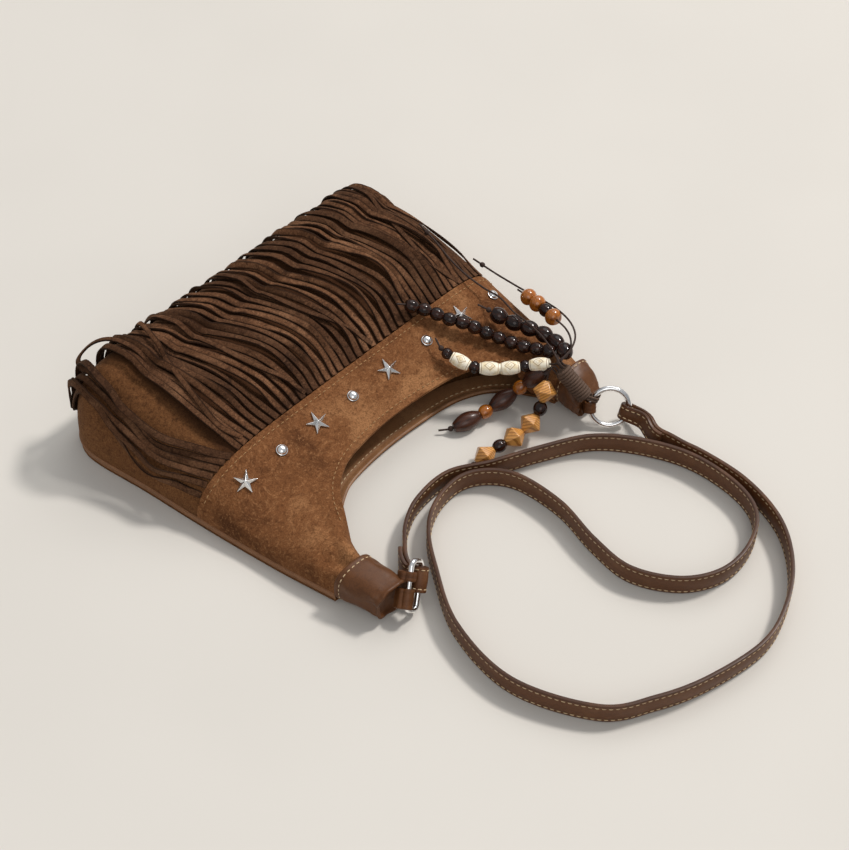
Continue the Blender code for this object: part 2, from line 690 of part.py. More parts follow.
def ring_axes():
    """Right, up the slope, and the axis of the tilted round ring."""
    right = Vector((math.cos(RING_TURN), math.sin(RING_TURN), 0))
    away = Vector((-math.sin(RING_TURN), math.cos(RING_TURN), 0))
    slope = away * math.cos(RING_TILT) + Vector((0, 0, 1)) * math.sin(RING_TILT)
    return right, slope, right.cross(slope)


def ring_place(angle_deg, radius):
    right, slope, _ = ring_axes()
    a = math.radians(angle_deg)
    return Vector(RING_CENTRE) + (right * math.cos(a) + slope * math.sin(a)) * radius


def ring_right():
    """The ring's own origin is on its axis, about which it turns in its loops."""
    right, slope, axis = ring_axes()
    path = []
    for k in range(24):
        a = 2 * math.pi * k / 24
        path.append((right * math.cos(a) + slope * math.sin(a)) * RING_RADIUS)
    made = wire_loop("ring_right", path, axis, RING_WIRE, 6, polished_metal())
    made.location = RING_CENTRE
    return made


def loop_axes():
    """Along the long bars, across them, and the axis of the rectangular ring."""
    along = (Vector(LOOP_HEAD) - Vector(LOOP_FOOT)).normalized()
    across = Vector((0.76, 0.0, 0.64))
    across = (across - along * across.dot(along)).normalized()
    return along, across, along.cross(across)


def loop_left():
    along, across, axis = loop_axes()
    foot = Vector(LOOP_FOOT)
    long_side = LOOP_LENGTH - 2 * LOOP_WIRE
    short_side = LOOP_WIDTH - 2 * LOOP_WIRE
    corners = [(LOOP_CORNER, LOOP_CORNER, 180), (LOOP_CORNER, short_side - LOOP_CORNER, 90),
               (long_side - LOOP_CORNER, short_side - LOOP_CORNER, 0),
               (long_side - LOOP_CORNER, LOOP_CORNER, -90)]
    path = []
    for u, v, start in corners:
        for step in (90, 60, 30, 0):
            angle = math.radians(start + step)
            path.append(foot + along * (u + LOOP_CORNER * math.cos(angle))
                        + across * (v + LOOP_CORNER * math.sin(angle)))
    return wire_loop("loop_left", path, axis, LOOP_WIRE, 6, polished_metal())


def loop_place(along_by, across_by):
    along, across, _ = loop_axes()
    return Vector(LOOP_FOOT) + along * along_by + across * across_by


def eye_tab(name, centre, leg, width_run, width, wire, short_by):
    """A leather tab folded round a wire: an eye with two layers sewn into one short leg."""
    leg = leg - width_run * leg.dot(width_run)
    leg_length = leg.length - short_by
    leg.normalize()
    side = width_run.cross(leg)
    hole = wire + TAB_CLEARANCE
    radius = hole + TAB_THICKNESS
    outline, eye = [], []
    shoulder = math.sqrt(radius**2 - TAB_THICKNESS**2)
    for k in range(12):
        angle = math.radians(30 * k - 165)
        eye.append((hole * math.cos(angle), hole * math.sin(angle)))
        near = abs(math.degrees(angle))
        if near < 20:
            outline.append((leg_length, math.copysign(TAB_THICKNESS, angle)))
        elif near < 50:
            outline.append((shoulder, math.copysign(TAB_THICKNESS, angle)))
        else:
            outline.append((radius * math.cos(angle), radius * math.sin(angle)))
    verts, faces = [], []
    for half in (-0.5, 0.5):
        for u, v in outline + eye:
            verts.append(centre + leg * u + side * v + width_run * half * width)
    for k in range(12):
        n = (k + 1) % 12
        faces += [(k, 12 + k, 12 + n, n), (24 + k, 24 + n, 36 + n, 36 + k),
                  (k, n, 24 + n, 24 + k), (12 + n, 12 + k, 36 + k, 36 + n)]
    return add_object(name, verts, faces, leather(), 50)


def tab_left():
    along, _, _ = loop_axes()
    centre = loop_place(LOOP_LENGTH / 2 - LOOP_WIRE, LOOP_WIDTH - 2 * LOOP_WIRE)
    middle = (RIM_HALF[-1][0] * MM + half_width(HORN_END_Y)) / 2 - CAP_INWARD
    cap_end = lean(middle, HORN_END_Y + LEFT_CAP_LENGTH, HORN_HEIGHT / 2)
    return eye_tab("tab_left", centre, cap_end - centre, along, LEFT_TAB_WIDTH, LOOP_WIRE,
                   LEFT_TAB_SHORT_OF_CAP)


def tab_right():
    _, slope, _ = ring_axes()
    centre = ring_place(RIGHT_TAB_AT, RING_RADIUS)
    middle = (RIM_HALF[-1][0] * MM + half_width(HORN_END_Y)) / 2 - CAP_INWARD
    cap_end = lean(-middle, HORN_END_Y + RIGHT_CAP_LENGTH, HORN_HEIGHT / 2)
    return eye_tab("tab_right", centre, cap_end - centre, -slope, RIGHT_TAB_WIDTH, RING_WIRE,
                   RIGHT_TAB_SHORT_OF_CAP)


# Strap

def layer_offset(along, fold_radius):
    """How far a layer lies from the strap's middle line, this far from its fold."""
    pressed = STRAP_THICKNESS / 2 + GAP / 2
    wide = fold_radius + (pressed - fold_radius) * smoothstep(0, 12 * MM, along)
    return wide * (1 - smoothstep(STRAP_TAIL, STRAP_TAIL + 16 * MM, along))


def strap_line():
    """Middle line of the strap and its width direction, with both folded ends."""
    right, slope, _ = ring_axes()
    a = math.radians(STRAP_AT_RING)
    first = ring_place(STRAP_AT_RING, RING_RADIUS)
    first_wide = slope * math.cos(a) - right * math.sin(a)
    last = loop_place(STRAP_ON_LOOP, 0)
    last_wide = loop_axes()[0]
    level = STRAP_MIDDLE_HEIGHT
    route = [(x * MM, y * MM, level) for x, y in STRAP_ROUTE]
    away = Vector(route[0]) - first
    away = (away - first_wide * away.dot(first_wide)).normalized()
    back = Vector(route[-1]) - last
    back = (back - last_wide * back.dot(last_wide)).normalized()
    guides = [first, first + away * STRAP_GUIDE], [last + back * STRAP_GUIDE, last]
    route = [tuple(p) for p in guides[0]] + route + [tuple(p) for p in guides[1]]
    line = [Vector(p) for p in smooth_line(route, STRAP_STEP / 3)]
    step = (line[1] - line[0]).length
    total = step * (len(line) - 1)
    upright = Vector((0, 0, 1))
    frames = []
    for k, point in enumerate(line):
        run = (line[min(k + 1, len(line) - 1)] - line[max(k - 1, 0)]).normalized()
        if k == 0:
            run = away
        if k == len(line) - 1:
            run = -back
        here = k * step
        wide = first_wide.lerp(upright, smoothstep(0, STRAP_TWIST, here))
        wide = wide.lerp(last_wide, smoothstep(total - STRAP_TWIST, total, here))
        wide = (wide - run * wide.dot(run)).normalized()
        frames.append((point, run, wide, here))
    return frames, total


def strap_width(along):
    """The strap is squeezed together where it goes through the round ring."""
    return STRAP_WIDTH_AT_RING + (STRAP_WIDTH - STRAP_WIDTH_AT_RING) * smoothstep(0, STRAP_NARROWS_OVER, along)


def fold(frame, outward, radius):
    """The turn of a folded end round its wire, from one layer to the other."""
    point, run, wide, here = frame
    side = wide.cross(run)
    turn = []
    for k in range(1, 8):
        angle = math.pi * k / 8
        turn.append((point - side * radius * math.cos(angle) + run * outward * radius * math.sin(angle),
                     wide, here))
    return turn


def shoulder_strap():
    frames, total = strap_line()
    squeezed = RING_RADIUS - math.sqrt(RING_RADIUS**2 - (STRAP_WIDTH_AT_RING / 2) ** 2)
    ring_fold = RING_WIRE + squeezed + TAB_CLEARANCE + STRAP_THICKNESS / 2
    loop_fold = LOOP_WIRE + TAB_CLEARANCE + STRAP_THICKNESS / 2
    path = []
    near = [f for f in frames if f[3] <= STRAP_TAIL]
    for point, run, wide, here in reversed(near):
        path.append((point - wide.cross(run) * layer_offset(here, ring_fold), wide, here))
    path += fold(frames[0], -1, ring_fold)
    for number, (point, run, wide, here) in enumerate(frames):
        close = min(here, total - here) < STRAP_TAIL + 16 * MM
        if not close and number % 3:
            continue
        shift = layer_offset(here, ring_fold) + layer_offset(total - here, loop_fold)
        path.append((point + wide.cross(run) * shift, wide, here))
    path += reversed(fold(frames[-1], 1, loop_fold))
    far = [f for f in frames if total - f[3] <= STRAP_TAIL]
    for point, run, wide, here in reversed(far):
        path.append((point - wide.cross(run) * layer_offset(total - here, loop_fold), wide, here))
    verts, faces = [], []
    for k, (point, wide, here) in enumerate(path):
        before = path[max(0, k - 1)][0]
        after = path[min(len(path) - 1, k + 1)][0]
        run = (after - before).normalized()
        side = wide.cross(run).normalized()
        for u, v in ((-0.5, -0.5), (0.5, -0.5), (0.5, 0.5), (-0.5, 0.5)):
            verts.append(point + side * STRAP_THICKNESS * u + wide * strap_width(here) * v)
    for k in range(len(path) - 1):
        for j in range(4):
            m = (j + 1) % 4
            faces.append((4 * k + j, 4 * k + m, 4 * k + 4 + m, 4 * k + 4 + j))
    end = 4 * (len(path) - 1)
    faces += [(3, 2, 1, 0), (end, end + 1, end + 2, end + 3)]
    return add_object("shoulder_strap", verts, faces, leather(), 50)


# Tassel

def plain_cord(name, points, radius, material):
    """A round cord along the given points."""
    data = bpy.data.curves.new(name, "CURVE")
    data.dimensions = "3D"
    data.bevel_depth = radius
    data.bevel_resolution = 2
    data.use_fill_caps = True
    line = data.splines.new("POLY")
    line.points.add(len(points) - 1)
    for slot, point in zip(line.points, points):
        slot.co = (*point, 1.0)
    data.materials.append(material)
    made = bpy.data.objects.new(name, data)
    bpy.context.scene.collection.objects.link(made)
    return made


def wrap_axis():
    top = Vector(WRAP_TOP) * MM
    run = (Vector(WRAP_FOOT_TOWARDS) * MM - top).normalized()
    return top, run


def cord_wrapping():
    """Cord wound tightly round the strands where they meet."""
    top, run = wrap_axis()
    pitch = WRAP_LENGTH / WRAP_TURNS
    profile = [(0, 0)]
    for k in range(WRAP_TURNS):
        profile.append((WRAP_RADIUS * 0.91, k * pitch))
        profile.append((WRAP_RADIUS, (k + 0.5) * pitch))
    profile.append((WRAP_RADIUS * 0.91, WRAP_LENGTH))
    profile.append((0, WRAP_LENGTH))
    made = turned("cord_wrapping", profile, WRAP_SIDES, leather(), 70)
    made.matrix_world = Matrix.Translation(top) @ run.to_track_quat("Z", "Y").to_matrix().to_4x4()
    return made


def tassel_loop():
    """The cord that ties the wrapped strands to the round ring."""
    right, slope, _ = ring_axes()
    a = math.radians(TASSEL_LOOP_AT)
    wire = ring_place(TASSEL_LOOP_AT, RING_RADIUS)
    wire_run = slope * math.cos(a) - right * math.sin(a)
    top, run = wrap_axis()
    foot = top + run * (WRAP_LENGTH + 2.5 * LOOP_CORD_RADIUS)
    reach = foot - wire
    reach = (reach - wire_run * reach.dot(wire_run)).normalized()
    side = wire_run.cross(reach)
    turn = RING_WIRE + TAB_CLEARANCE + LOOP_CORD_RADIUS
    points = []
    for step in range(9):
        angle = math.radians(-100 + 25 * step)
        points.append(wire + (side * math.sin(angle) - reach * math.cos(angle)) * turn)
    apart = (side - run * side.dot(run)).normalized() * 2 * MM
    start, end = foot - apart, foot + apart
    return plain_cord("tassel_loop", [start, *points, end], LOOP_CORD_RADIUS, leather())


def frames_along(line):
    """Side and up directions along a line that don't turn about it."""
    up = Vector((0, 0, 1))
    frames = []
    for k in range(len(line)):
        run = (line[min(k + 1, len(line) - 1)] - line[max(k - 1, 0)]).normalized()
        up = (up - run * up.dot(run)).normalized()
        frames.append((run, run.cross(up), up))
    return frames


def bead(name, kind, centre, run, colour):
    """A bead with a drilled hole, turned about its own axis."""
    length, radius, half = BEADS[kind]
    profile = [(radius * r, length * (a - 0.5)) for a, r in half]
    profile += [(BEAD_HOLE, length / 2), (BEAD_HOLE, -length / 2)]
    made = turned(name, profile, BEAD_SIDES, colour, 60)
    made.matrix_world = Matrix.Translation(centre) @ run.to_track_quat("Z", "Y").to_matrix().to_4x4()
    return made


def bead_colour(kind):
    if kind == "white":
        return finish("carved_white", (0.72, 0.62, 0.45), 0.45)
    if kind == "olive":
        return finish("dark_wood", (0.06, 0.025, 0.015), 0.35)
    return finish("amber_wood", (0.48, 0.21, 0.05), 0.4)


def strand_route(place, route):
    """The strand's whole route, from its place on the wrapping's face."""
    top, run = wrap_axis()
    up = (Vector((0, 0, 1)) - run * run.z).normalized()
    start = top + (run.cross(up) * place[0] + up * place[1]) * MM - run * 2 * GAP
    return [tuple(start), tuple(start - run * 4 * MM)] + [[v * MM for v in p] for p in route]


def strand(name, place, route, kinds):
    """A cord with its fused dark beads, and the other beads as pieces of their own."""
    fine = [Vector(p) for p in smooth_line(strand_route(place, route), 1.0 * MM)]
    step = (fine[1] - fine[0]).length
    total = step * (len(fine) - 1)

    def at(along):
        k = min(len(fine) - 2, max(0, int(along / step)))
        return fine[k].lerp(fine[k + 1], along / step - k)
    marks = []
    far = total - THREAD_TAIL
    number = {}
    for kind in kinds:
        length, radius, half = BEADS[kind]
        near = far - length
        if kind in FUSED_BEADS:
            for share, wide in half:
                marks.append((far - share * length, radius * wide))
            marks.append((far + 0.05 * MM, CORD_RADIUS))
            marks.append((near - 0.05 * MM, CORD_RADIUS))
        else:
            number[kind] = number.get(kind, 0) + 1
            run = (at(far) - at(near)).normalized()
            bead(f"{name}_{kind}_{number[kind]}", kind, (at(far) + at(near)) / 2, run, bead_colour(kind))
            marks += [(far, CORD_RADIUS), (near, CORD_RADIUS)]
        far = near - BEAD_GAP
    plain = np.linspace(0, far, max(2, round(far / (7 * MM))))
    marks += [(a, CORD_RADIUS) for a in plain] + [(total, CORD_RADIUS)]
    marks.sort()
    line = [at(a) for a, _ in marks]
    verts, faces = [], []
    sides = 6
    for point, (_, radius), (_, side, up) in zip(line, marks, frames_along(line)):
        for j in range(sides):
            angle = 2 * math.pi * j / sides
            verts.append(point + side * radius * math.cos(angle) + up * radius * math.sin(angle))
    for k in range(len(line) - 1):
        for j in range(sides):
            m = (j + 1) % sides
            faces.append((sides * k + m, sides * k + j, sides * k + sides + j, sides * k + sides + m))
    end = sides * (len(line) - 1)
    faces += [tuple(range(sides)), tuple(end + j for j in reversed(range(sides)))]
    return add_object(name, verts, faces, bead_colour("olive"), 60)


def main():
    remove_everything()
    front_panel()
    yoke_panel()
    back_panel()
    gusset_strip()
    mouth_facing()
    fringe()
    studs()
    horn_cap("horn_cap_left", 1, LEFT_CAP_LENGTH, 0.05)
    horn_cap("horn_cap_right", -1, RIGHT_CAP_LENGTH, 0.38)
    ring_right()
    loop_left()
    tab_left()
    tab_right()
    shoulder_strap()
    cord_wrapping()
    tassel_loop()
    for name, place, route, kinds in STRANDS:
        strand(name, place, route, kinds)


main()
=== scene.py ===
import json
import math

import bpy
import numpy as np
from mathutils import Matrix, Vector, noise

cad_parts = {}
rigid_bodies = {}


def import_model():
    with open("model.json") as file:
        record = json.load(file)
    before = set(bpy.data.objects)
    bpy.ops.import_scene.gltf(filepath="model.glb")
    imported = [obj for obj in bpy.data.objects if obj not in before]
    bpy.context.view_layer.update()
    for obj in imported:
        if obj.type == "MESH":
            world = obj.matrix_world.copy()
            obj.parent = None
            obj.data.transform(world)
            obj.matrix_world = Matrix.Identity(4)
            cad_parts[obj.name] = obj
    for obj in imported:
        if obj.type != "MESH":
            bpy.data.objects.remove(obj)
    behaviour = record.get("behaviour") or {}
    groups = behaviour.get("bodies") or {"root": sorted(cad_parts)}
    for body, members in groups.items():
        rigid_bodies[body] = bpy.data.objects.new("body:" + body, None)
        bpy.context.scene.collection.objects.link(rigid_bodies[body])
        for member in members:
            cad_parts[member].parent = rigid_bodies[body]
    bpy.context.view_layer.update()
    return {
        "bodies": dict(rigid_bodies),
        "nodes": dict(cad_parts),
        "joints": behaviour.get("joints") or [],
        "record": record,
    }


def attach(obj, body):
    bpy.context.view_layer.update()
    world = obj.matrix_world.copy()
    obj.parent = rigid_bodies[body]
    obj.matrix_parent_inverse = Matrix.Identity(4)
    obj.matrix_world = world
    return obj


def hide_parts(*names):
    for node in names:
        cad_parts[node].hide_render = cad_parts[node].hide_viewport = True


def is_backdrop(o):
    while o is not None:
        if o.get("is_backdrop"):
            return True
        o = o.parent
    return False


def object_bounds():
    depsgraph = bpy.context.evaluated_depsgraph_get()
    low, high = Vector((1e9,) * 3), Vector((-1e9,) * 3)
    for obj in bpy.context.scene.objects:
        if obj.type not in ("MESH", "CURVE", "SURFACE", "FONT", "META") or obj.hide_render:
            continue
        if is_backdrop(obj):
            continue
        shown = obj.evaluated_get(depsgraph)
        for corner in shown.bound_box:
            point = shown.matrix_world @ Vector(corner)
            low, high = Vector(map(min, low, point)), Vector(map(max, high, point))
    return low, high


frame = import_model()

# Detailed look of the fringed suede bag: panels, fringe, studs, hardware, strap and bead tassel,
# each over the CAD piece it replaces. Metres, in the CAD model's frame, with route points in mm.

MM = 0.001
GAP = 0.3 * MM

# Body shape, as in the CAD model, apart from the bulge at the left lower corner
BODY_HALF_WIDTH = 124 * MM
WIDEST_AT = -30 * MM
HORN_TAPER = 19.3 * MM
TAPER_SPAN = 184 * MM
BOTTOM_Y = -80 * MM
SEAM_Y = 24 * MM
HORN_END_Y = 121 * MM
CORNER_RADIUS = 22 * MM
LEAN = -0.065
RIGHT_HORN_SLUMP = 9 * MM
SLUMP_FROM_Y = 50 * MM
RIGHT_SIDE_BULGE = 6 * MM
LEFT_CORNER_BULGE = 5 * MM
EDGE_HEIGHT = 7 * MM
CREST_HEIGHT = 66 * MM
CREST_Y = -52 * MM
SEAM_HEIGHT = 40 * MM
RIM_HEIGHT = 26 * MM
HORN_HEIGHT = 24 * MM
LEFT_HORN_LIFT = 1.5 * MM
RIGHT_HORN_LIFT = 4 * MM
LIFT_FROM_Y = 78 * MM
PANEL_THICKNESS = 1.6 * MM
FACING_WIDTH = 15 * MM
RIM_HALF = [(0, 62.3), (36, 65.5), (54, 73), (66, 84), (75, 99), (81, 111), (84, 121)]
MOUTH_CLOSES_FROM = 88 * MM
MOUTH_CLOSED_AT = 106 * MM
HORN_EDGE_RADIUS = 9 * MM
YOKE_WRINKLE = 0.55 * MM

# Studs, caps and sewn rows. The right cap is longer than the CAD model's, which ends where its tab starts
STUD_COUNT = 8
STUD_PITCH = 28.6 * MM
FIRST_STUD_X = 96 * MM
STUD_Y = 39.5 * MM
STAR_RADIUS = 7.5 * MM
STAR_INNER_RADIUS = 2.75 * MM
LEFT_CAP_LENGTH = 28 * MM
RIGHT_CAP_LENGTH = 18 * MM
RIGHT_TAB_STARTS = 15.5 * MM
CAP_INWARD = 3.5 * MM
CAP_SIDES = 112
SEAM_STITCH_INSET = 3.6 * MM
RIM_STITCH_INSET = 4.2 * MM
FACING_STITCH_INSET = 4.6 * MM

# Rings, tabs, strap and tassel, as in the CAD model
RING_RADIUS = 11.8 * MM
RING_WIRE = 1.7 * MM
RING_CENTRE = (-107.6 * MM, 142 * MM, 12.6 * MM)
RING_TILT = math.radians(60)
RING_TURN = math.radians(134.5)
LOOP_LENGTH = 31 * MM
LOOP_WIDTH = 13.5 * MM
LOOP_WIRE = 1.65 * MM
LOOP_CORNER = 3.2 * MM
LOOP_FOOT = (75.2 * MM, 158.2 * MM, 3.4 * MM)
LOOP_HEAD = (56.8 * MM, 145.6 * MM, 22.6 * MM)
TAB_CLEARANCE = 0.6 * MM
STRAP_WIDTH = 15 * MM
STRAP_THICKNESS = 2.4 * MM
STRAP_STITCH_INSET = 2.1 * MM
STRAP_TAIL = 30 * MM
STRAP_GUIDE = 12 * MM
STRAP_TWIST = 28 * MM
STRAP_WIDTH_AT_RING = 9.5 * MM
STRAP_NARROWS_OVER = 36 * MM
STRAP_AT_RING = -17
STRAP_ON_LOOP = 17.5 * MM
STRAP_MIDDLE_HEIGHT = STRAP_WIDTH / 2 + GAP
STRAP_ROUTE = [
    (-113, 176), (-119, 206), (-120, 238), (-111, 269), (-91, 293), (-65, 308),
    (-37, 314), (1, 307), (30, 295), (56, 277), (76, 232), (71, 186),
    (51, 150), (35, 129), (17, 118), (-4, 115.5), (-20, 124), (-30, 141),
    (-32, 171), (-26, 201), (-25, 229), (-39, 254), (-60, 267), (-84, 267),
    (-105, 256), (-114, 235), (-113, 203), (-101, 174), (-82, 150), (-54, 134),
    (-26, 121), (-2, 108), (24, 109), (43, 118), (57, 130),
]
WRAP_LENGTH = 23 * MM
WRAP_TOP = (-92, 115, 38)
WRAP_FOOT_TOWARDS = (-97.3, 134.5, 20)
TASSEL_LOOP_AT = 150
CORD_RADIUS = 0.6 * MM
LOOP_CORD_RADIUS = 0.8 * MM
BEAD_GAP = 1.0 * MM
THREAD_TAIL = 6 * MM

# Each kind of bead: its length, radius and finish. The faceted and the broad amber ones are a little
# wider than in the CAD model
BEADS = {
    "dark": (7.2 * MM, 4.0 * MM, "ebony"),
    "spacer": (5.2 * MM, 3.6 * MM, "ebony"),
    "black": (9.2 * MM, 4.8 * MM, "ebony"),
    "knot": (3.0 * MM, 1.7 * MM, "cord"),
    "white": (11.2 * MM, 4.1 * MM, "bone"),
    "bicone": (12.6 * MM, 7.2 * MM, "olive_wood"),
    "olive": (17.2 * MM, 5.3 * MM, "rosewood"),
    "amber": (7.4 * MM, 4.1 * MM, "amber"),
    "broad_amber": (7.4 * MM, 5.1 * MM, "amber"),
}
STRANDS = [
    ("strand_small_dark", (-1.0, 0.2),
     [(-98.8, 106.5, 37.5), (-101.6, 98.5, 33.8), (-98.4, 91, 32.4), (-93.5, 83, 31.5), (-92, 76, 31.5),
      (-89.5, 69, 31.5), (-86, 61.5, 33), (-82, 55, 36), (-78.5, 50, 39.5), (-74, 45.5, 41),
      (-70.5, 38, 42.3), (-67, 31, 44.5), (-62, 25, 47), (-57, 20, 50), (-52, 17, 52)],
     ["dark"] * 12),
    ("strand_large_dark", (-3.2, -0.8),
     [(-102, 110.5, 38), (-106, 105.5, 37), (-108.5, 95, 35), (-108.5, 84, 34), (-105.5, 76, 34),
      (-102.5, 68.5, 34.5), (-99, 60.5, 36.5), (-96, 52, 39.5), (-93.5, 45, 41)],
     ["knot"] + ["black"] * 6),
    ("strand_carved", (0.5, 1.4),
     [(-91.6, 109, 38), (-90, 103, 35.2), (-84, 96, 32.8), (-75.6, 89, 31.4), (-67, 80.5, 31.2),
      (-60, 72, 32), (-57, 64, 33.8), (-54.5, 56.5, 36.2), (-54.5, 51, 37.6), (-56.5, 45, 39.6)],
     ["knot", "spacer", "white", "spacer", "white", "white", "spacer", "white"]),
    ("strand_olive", (2.5, 0.0),
     [(-87.2, 105.2, 31.5), (-84.7, 100.1, 24.6), (-81.2, 96, 18), (-76.6, 93, 12.6), (-70.5, 90.8, 9),
      (-62, 88.6, 6.9), (-53, 87.3, 6.5), (-44, 86, 6.3), (-37, 82.5, 4.6), (-32.5, 79.5, 3.2),
      (-28, 75.5, 2.6)],
     ["knot", "olive", "amber", "olive", "amber", "olive"]),
    ("strand_bicone", (3.5, -2.0),
     [(-85.3, 110.6, 34), (-81.3, 113.2, 28.5), (-77, 115.2, 22.5), (-71.8, 116.4, 16), (-65.5, 116.4, 11),
      (-58, 116, 9), (-46, 114, 8.4), (-35, 112, 8), (-27, 110.3, 5.4), (-22, 109.2, 3.2),
      (-16, 107.4, 2)],
     ["knot", "bicone", "dark", "bicone", "bicone", "dark", "bicone"]),
    ("strand_amber", (-2.4, 2.0),
     [(-103, 111.5, 42), (-112, 104.5, 40.5), (-119.5, 94, 36.5), (-123.5, 82, 33.2), (-126, 72, 31.5),
      (-127.6, 63, 30.2), (-128.6, 54, 29.2), (-129, 46, 28.6)],
     ["broad_amber", "broad_amber", "dark", "broad_amber"]),
    ("thin_cord_side", (-1.2, 3.8),
     [(-103, 112.5, 45.5), (-113, 107, 44.5), (-122, 96, 40.5), (-128, 82, 36), (-131.5, 66, 31),
      (-132, 48, 27.5), (-131.8, 25, 25.5), (-131, 6, 26)],
     ["knot"]),
    ("thin_cord_top", (1.0, 3.6),
     [(-95, 106, 43.5), (-100, 92, 43), (-103, 78, 42), (-103.5, 66, 42), (-105.5, 52, 43.5),
      (-107, 38, 40), (-105, 24, 43.5), (-105, 10, 47.5), (-106.5, -4, 52), (-107.5, -19, 56)],
     ["knot"]),
]
FUSED_BEADS = ("dark", "spacer", "black", "knot")

# Fringe, as chosen from the photograph: a share of the seam from its left end, then how far a strip
# there lies from the middle line, in mm, at the seam, on the way and at the crest
STRIP_COUNT = 46
STRIP_WIDTH = 4.3 * MM
STRIP_THICKNESS = 0.9 * MM
GUIDE_ROWS = [24, 10, -12, -38, -66]
GUIDES = [
    (0.0, 118, 120, 121, 119.5, 116.5),
    (0.126, 90, 99, 107.5, 108.5, 104.5),
    (0.133, 86, 87.5, 89, 90.5, 94),
    (0.195, 73, 76, 79, 82.5, 87),
    (0.27, 55, 57.5, 62, 70, 78),
    (0.35, 36, 34, 38, 53, 68),
    (0.466, 9, 5.5, 6.5, 20, 38),
    (0.547, -10, -13.5, -12.5, 0, 15),
    (0.703, -47, -51, -54, -47.5, -34),
    (0.788, -67, -70.5, -73, -67.5, -57),
    (0.856, -83, -86.5, -88, -84, -78),
    (1.0, -114, -113, -110.5, -108, -105),
]

# Loose strips that cross the others or stand up in a loop, as (x, y, height over the front) in mm
STRAYS = [
    [(79, 20, 0.6), (84, 8, 3.4), (83, -8, 4.6), (80, -28, 4.8), (75, -50, 5), (70, -66, 4.5),
     (68, -74, 2)],
    [(31, 22, 0.6), (35, 8, 3), (44, -12, 4.2), (52, -34, 4.6), (57, -52, 4), (60, -68, 2.5)],
    [(-22, 22, 0.6), (-17, 4, 2.6), (-6, -18, 3.8), (4, -42, 4), (10, -60, 3), (12, -72, 1.5)],
    [(-92, 22, 0.6), (-86, 2, 2.4), (-90, -20, 3), (-97, -44, 2.8), (-98, -64, 1.6), (-98, -74, 0.8)],
    [(84, -44, 1), (86, -58, 5), (90, -68, 8), (96, -73, 10), (103, -73, 9), (107, -68, 5),
     (106, -60, 1.5)],
]

# Camera, as found from the photograph
IMAGE_WIDTH = 849
FOCAL_LENGTH_PIXELS = 1980
SENSOR_WIDTH = 36.0
CAMERA_TURN = math.radians(134.5)
CAMERA_RISE = math.radians(50)
CAMERA_DISTANCE = 1.2
CAMERA_TARGET = (-26.8 * MM, 65 * MM, 0)


# Small helpers

def smoothstep(low, high, value):
    """0 at low, 1 at high, with an even start and end between them."""
    t = min(1.0, max(0.0, (value - low) / (high - low)))
    return t * t * (3 - 2 * t)


def mixed(a, b, t):
    return a + (b - a) * t


def ripple(seed, *place):
    """Smooth noise from -1 to 1 at a place, different for each seed."""
    x, y, z = (*place, 0.0, 0.0)[:3]
    return noise.noise(Vector((x + 17.3 * seed, y - 9.1 * seed, z + 3.7 * seed)))


def smooth_line(points, step):
    """Points about a step apart on a smooth curve through the given ones."""
    pts = [np.array(p, float) for p in points]
    pts = [2 * pts[0] - pts[1], *pts, 2 * pts[-1] - pts[-2]]
    fine = []
    for a, b, c, d in zip(pts, pts[1:], pts[2:], pts[3:]):
        for k in range(24):
            t = k / 24
            fine.append(0.5 * (2 * b + (c - a) * t + (2 * a - 5 * b + 4 * c - d) * t**2
                               + (3 * b - a - 3 * c + d) * t**3))
    fine.append(pts[-2])
    return spaced(fine, step)


def spaced(fine, step):
    """The same line with points evenly spaced, about a step apart."""
    fine = np.array(fine)
    along = np.concatenate([[0], np.cumsum(np.linalg.norm(np.diff(fine, axis=0), axis=1))])
    count = max(2, round(along[-1] / step) + 1)
    at = np.linspace(0, along[-1], count)
    return np.stack([np.interp(at, along, fine[:, k]) for k in range(fine.shape[1])], axis=1)


def line_length(points):
    return sum((Vector(b) - Vector(a)).length for a, b in zip(points, points[1:]))


def grid_faces(rows, columns, closed=False, start=0):
    """Four-sided faces over rows of vertices; a closed grid joins its last column to its first."""
    faces = []
    last = columns if closed else columns - 1
    for i in range(rows - 1):
        for j in range(last):
            k = (j + 1) % columns
            faces.append((start + i * columns + j, start + i * columns + k,
                          start + (i + 1) * columns + k, start + (i + 1) * columns + j))
    return faces


def make_piece(name, verts, faces, material, body, nodes=(), smooth_angle=40, marks=None):
    """A mesh piece that rides on a body and stands for its CAD nodes; marks are values per vertex."""
    mesh = bpy.data.meshes.new(name)
    mesh.from_pydata([tuple(v) for v in verts], [], [tuple(f) for f in faces])
    mesh.materials.append(material)
    mesh.shade_smooth()
    mesh.set_sharp_from_angle(angle=math.radians(smooth_angle))
    for key, values in (marks or {}).items():
        layer = mesh.attributes.new(key, "FLOAT_VECTOR", "POINT")
        layer.data.foreach_set("vector", [x for v in values for x in v])
    made = bpy.data.objects.new(name, mesh)
    bpy.context.scene.collection.objects.link(made)
    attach(made, body)
    if nodes:
        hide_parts(*nodes)
    return made


def run_at(path, k):
    """Unit direction of a path of vectors at one of its points."""
    return (path[min(k + 1, len(path) - 1)] - path[max(k - 1, 0)]).normalized()


def outward(line, k):
    """Unit vector square to a flat line at one of its points."""
    run = run_at([Vector(line[max(0, k - 1)]), Vector(line[min(len(line) - 1, k + 1)])], 0)
    return Vector((-run.y, run.x))


def soften_edges(piece, width, segments, sharper_than):
    """Small rounding on the edges that turn by more than an angle in degrees."""
    bevel = piece.modifiers.new("soft_edges", "BEVEL")
    bevel.width = width
    bevel.segments = segments
    bevel.limit_method = "ANGLE"
    bevel.angle_limit = math.radians(sharper_than)


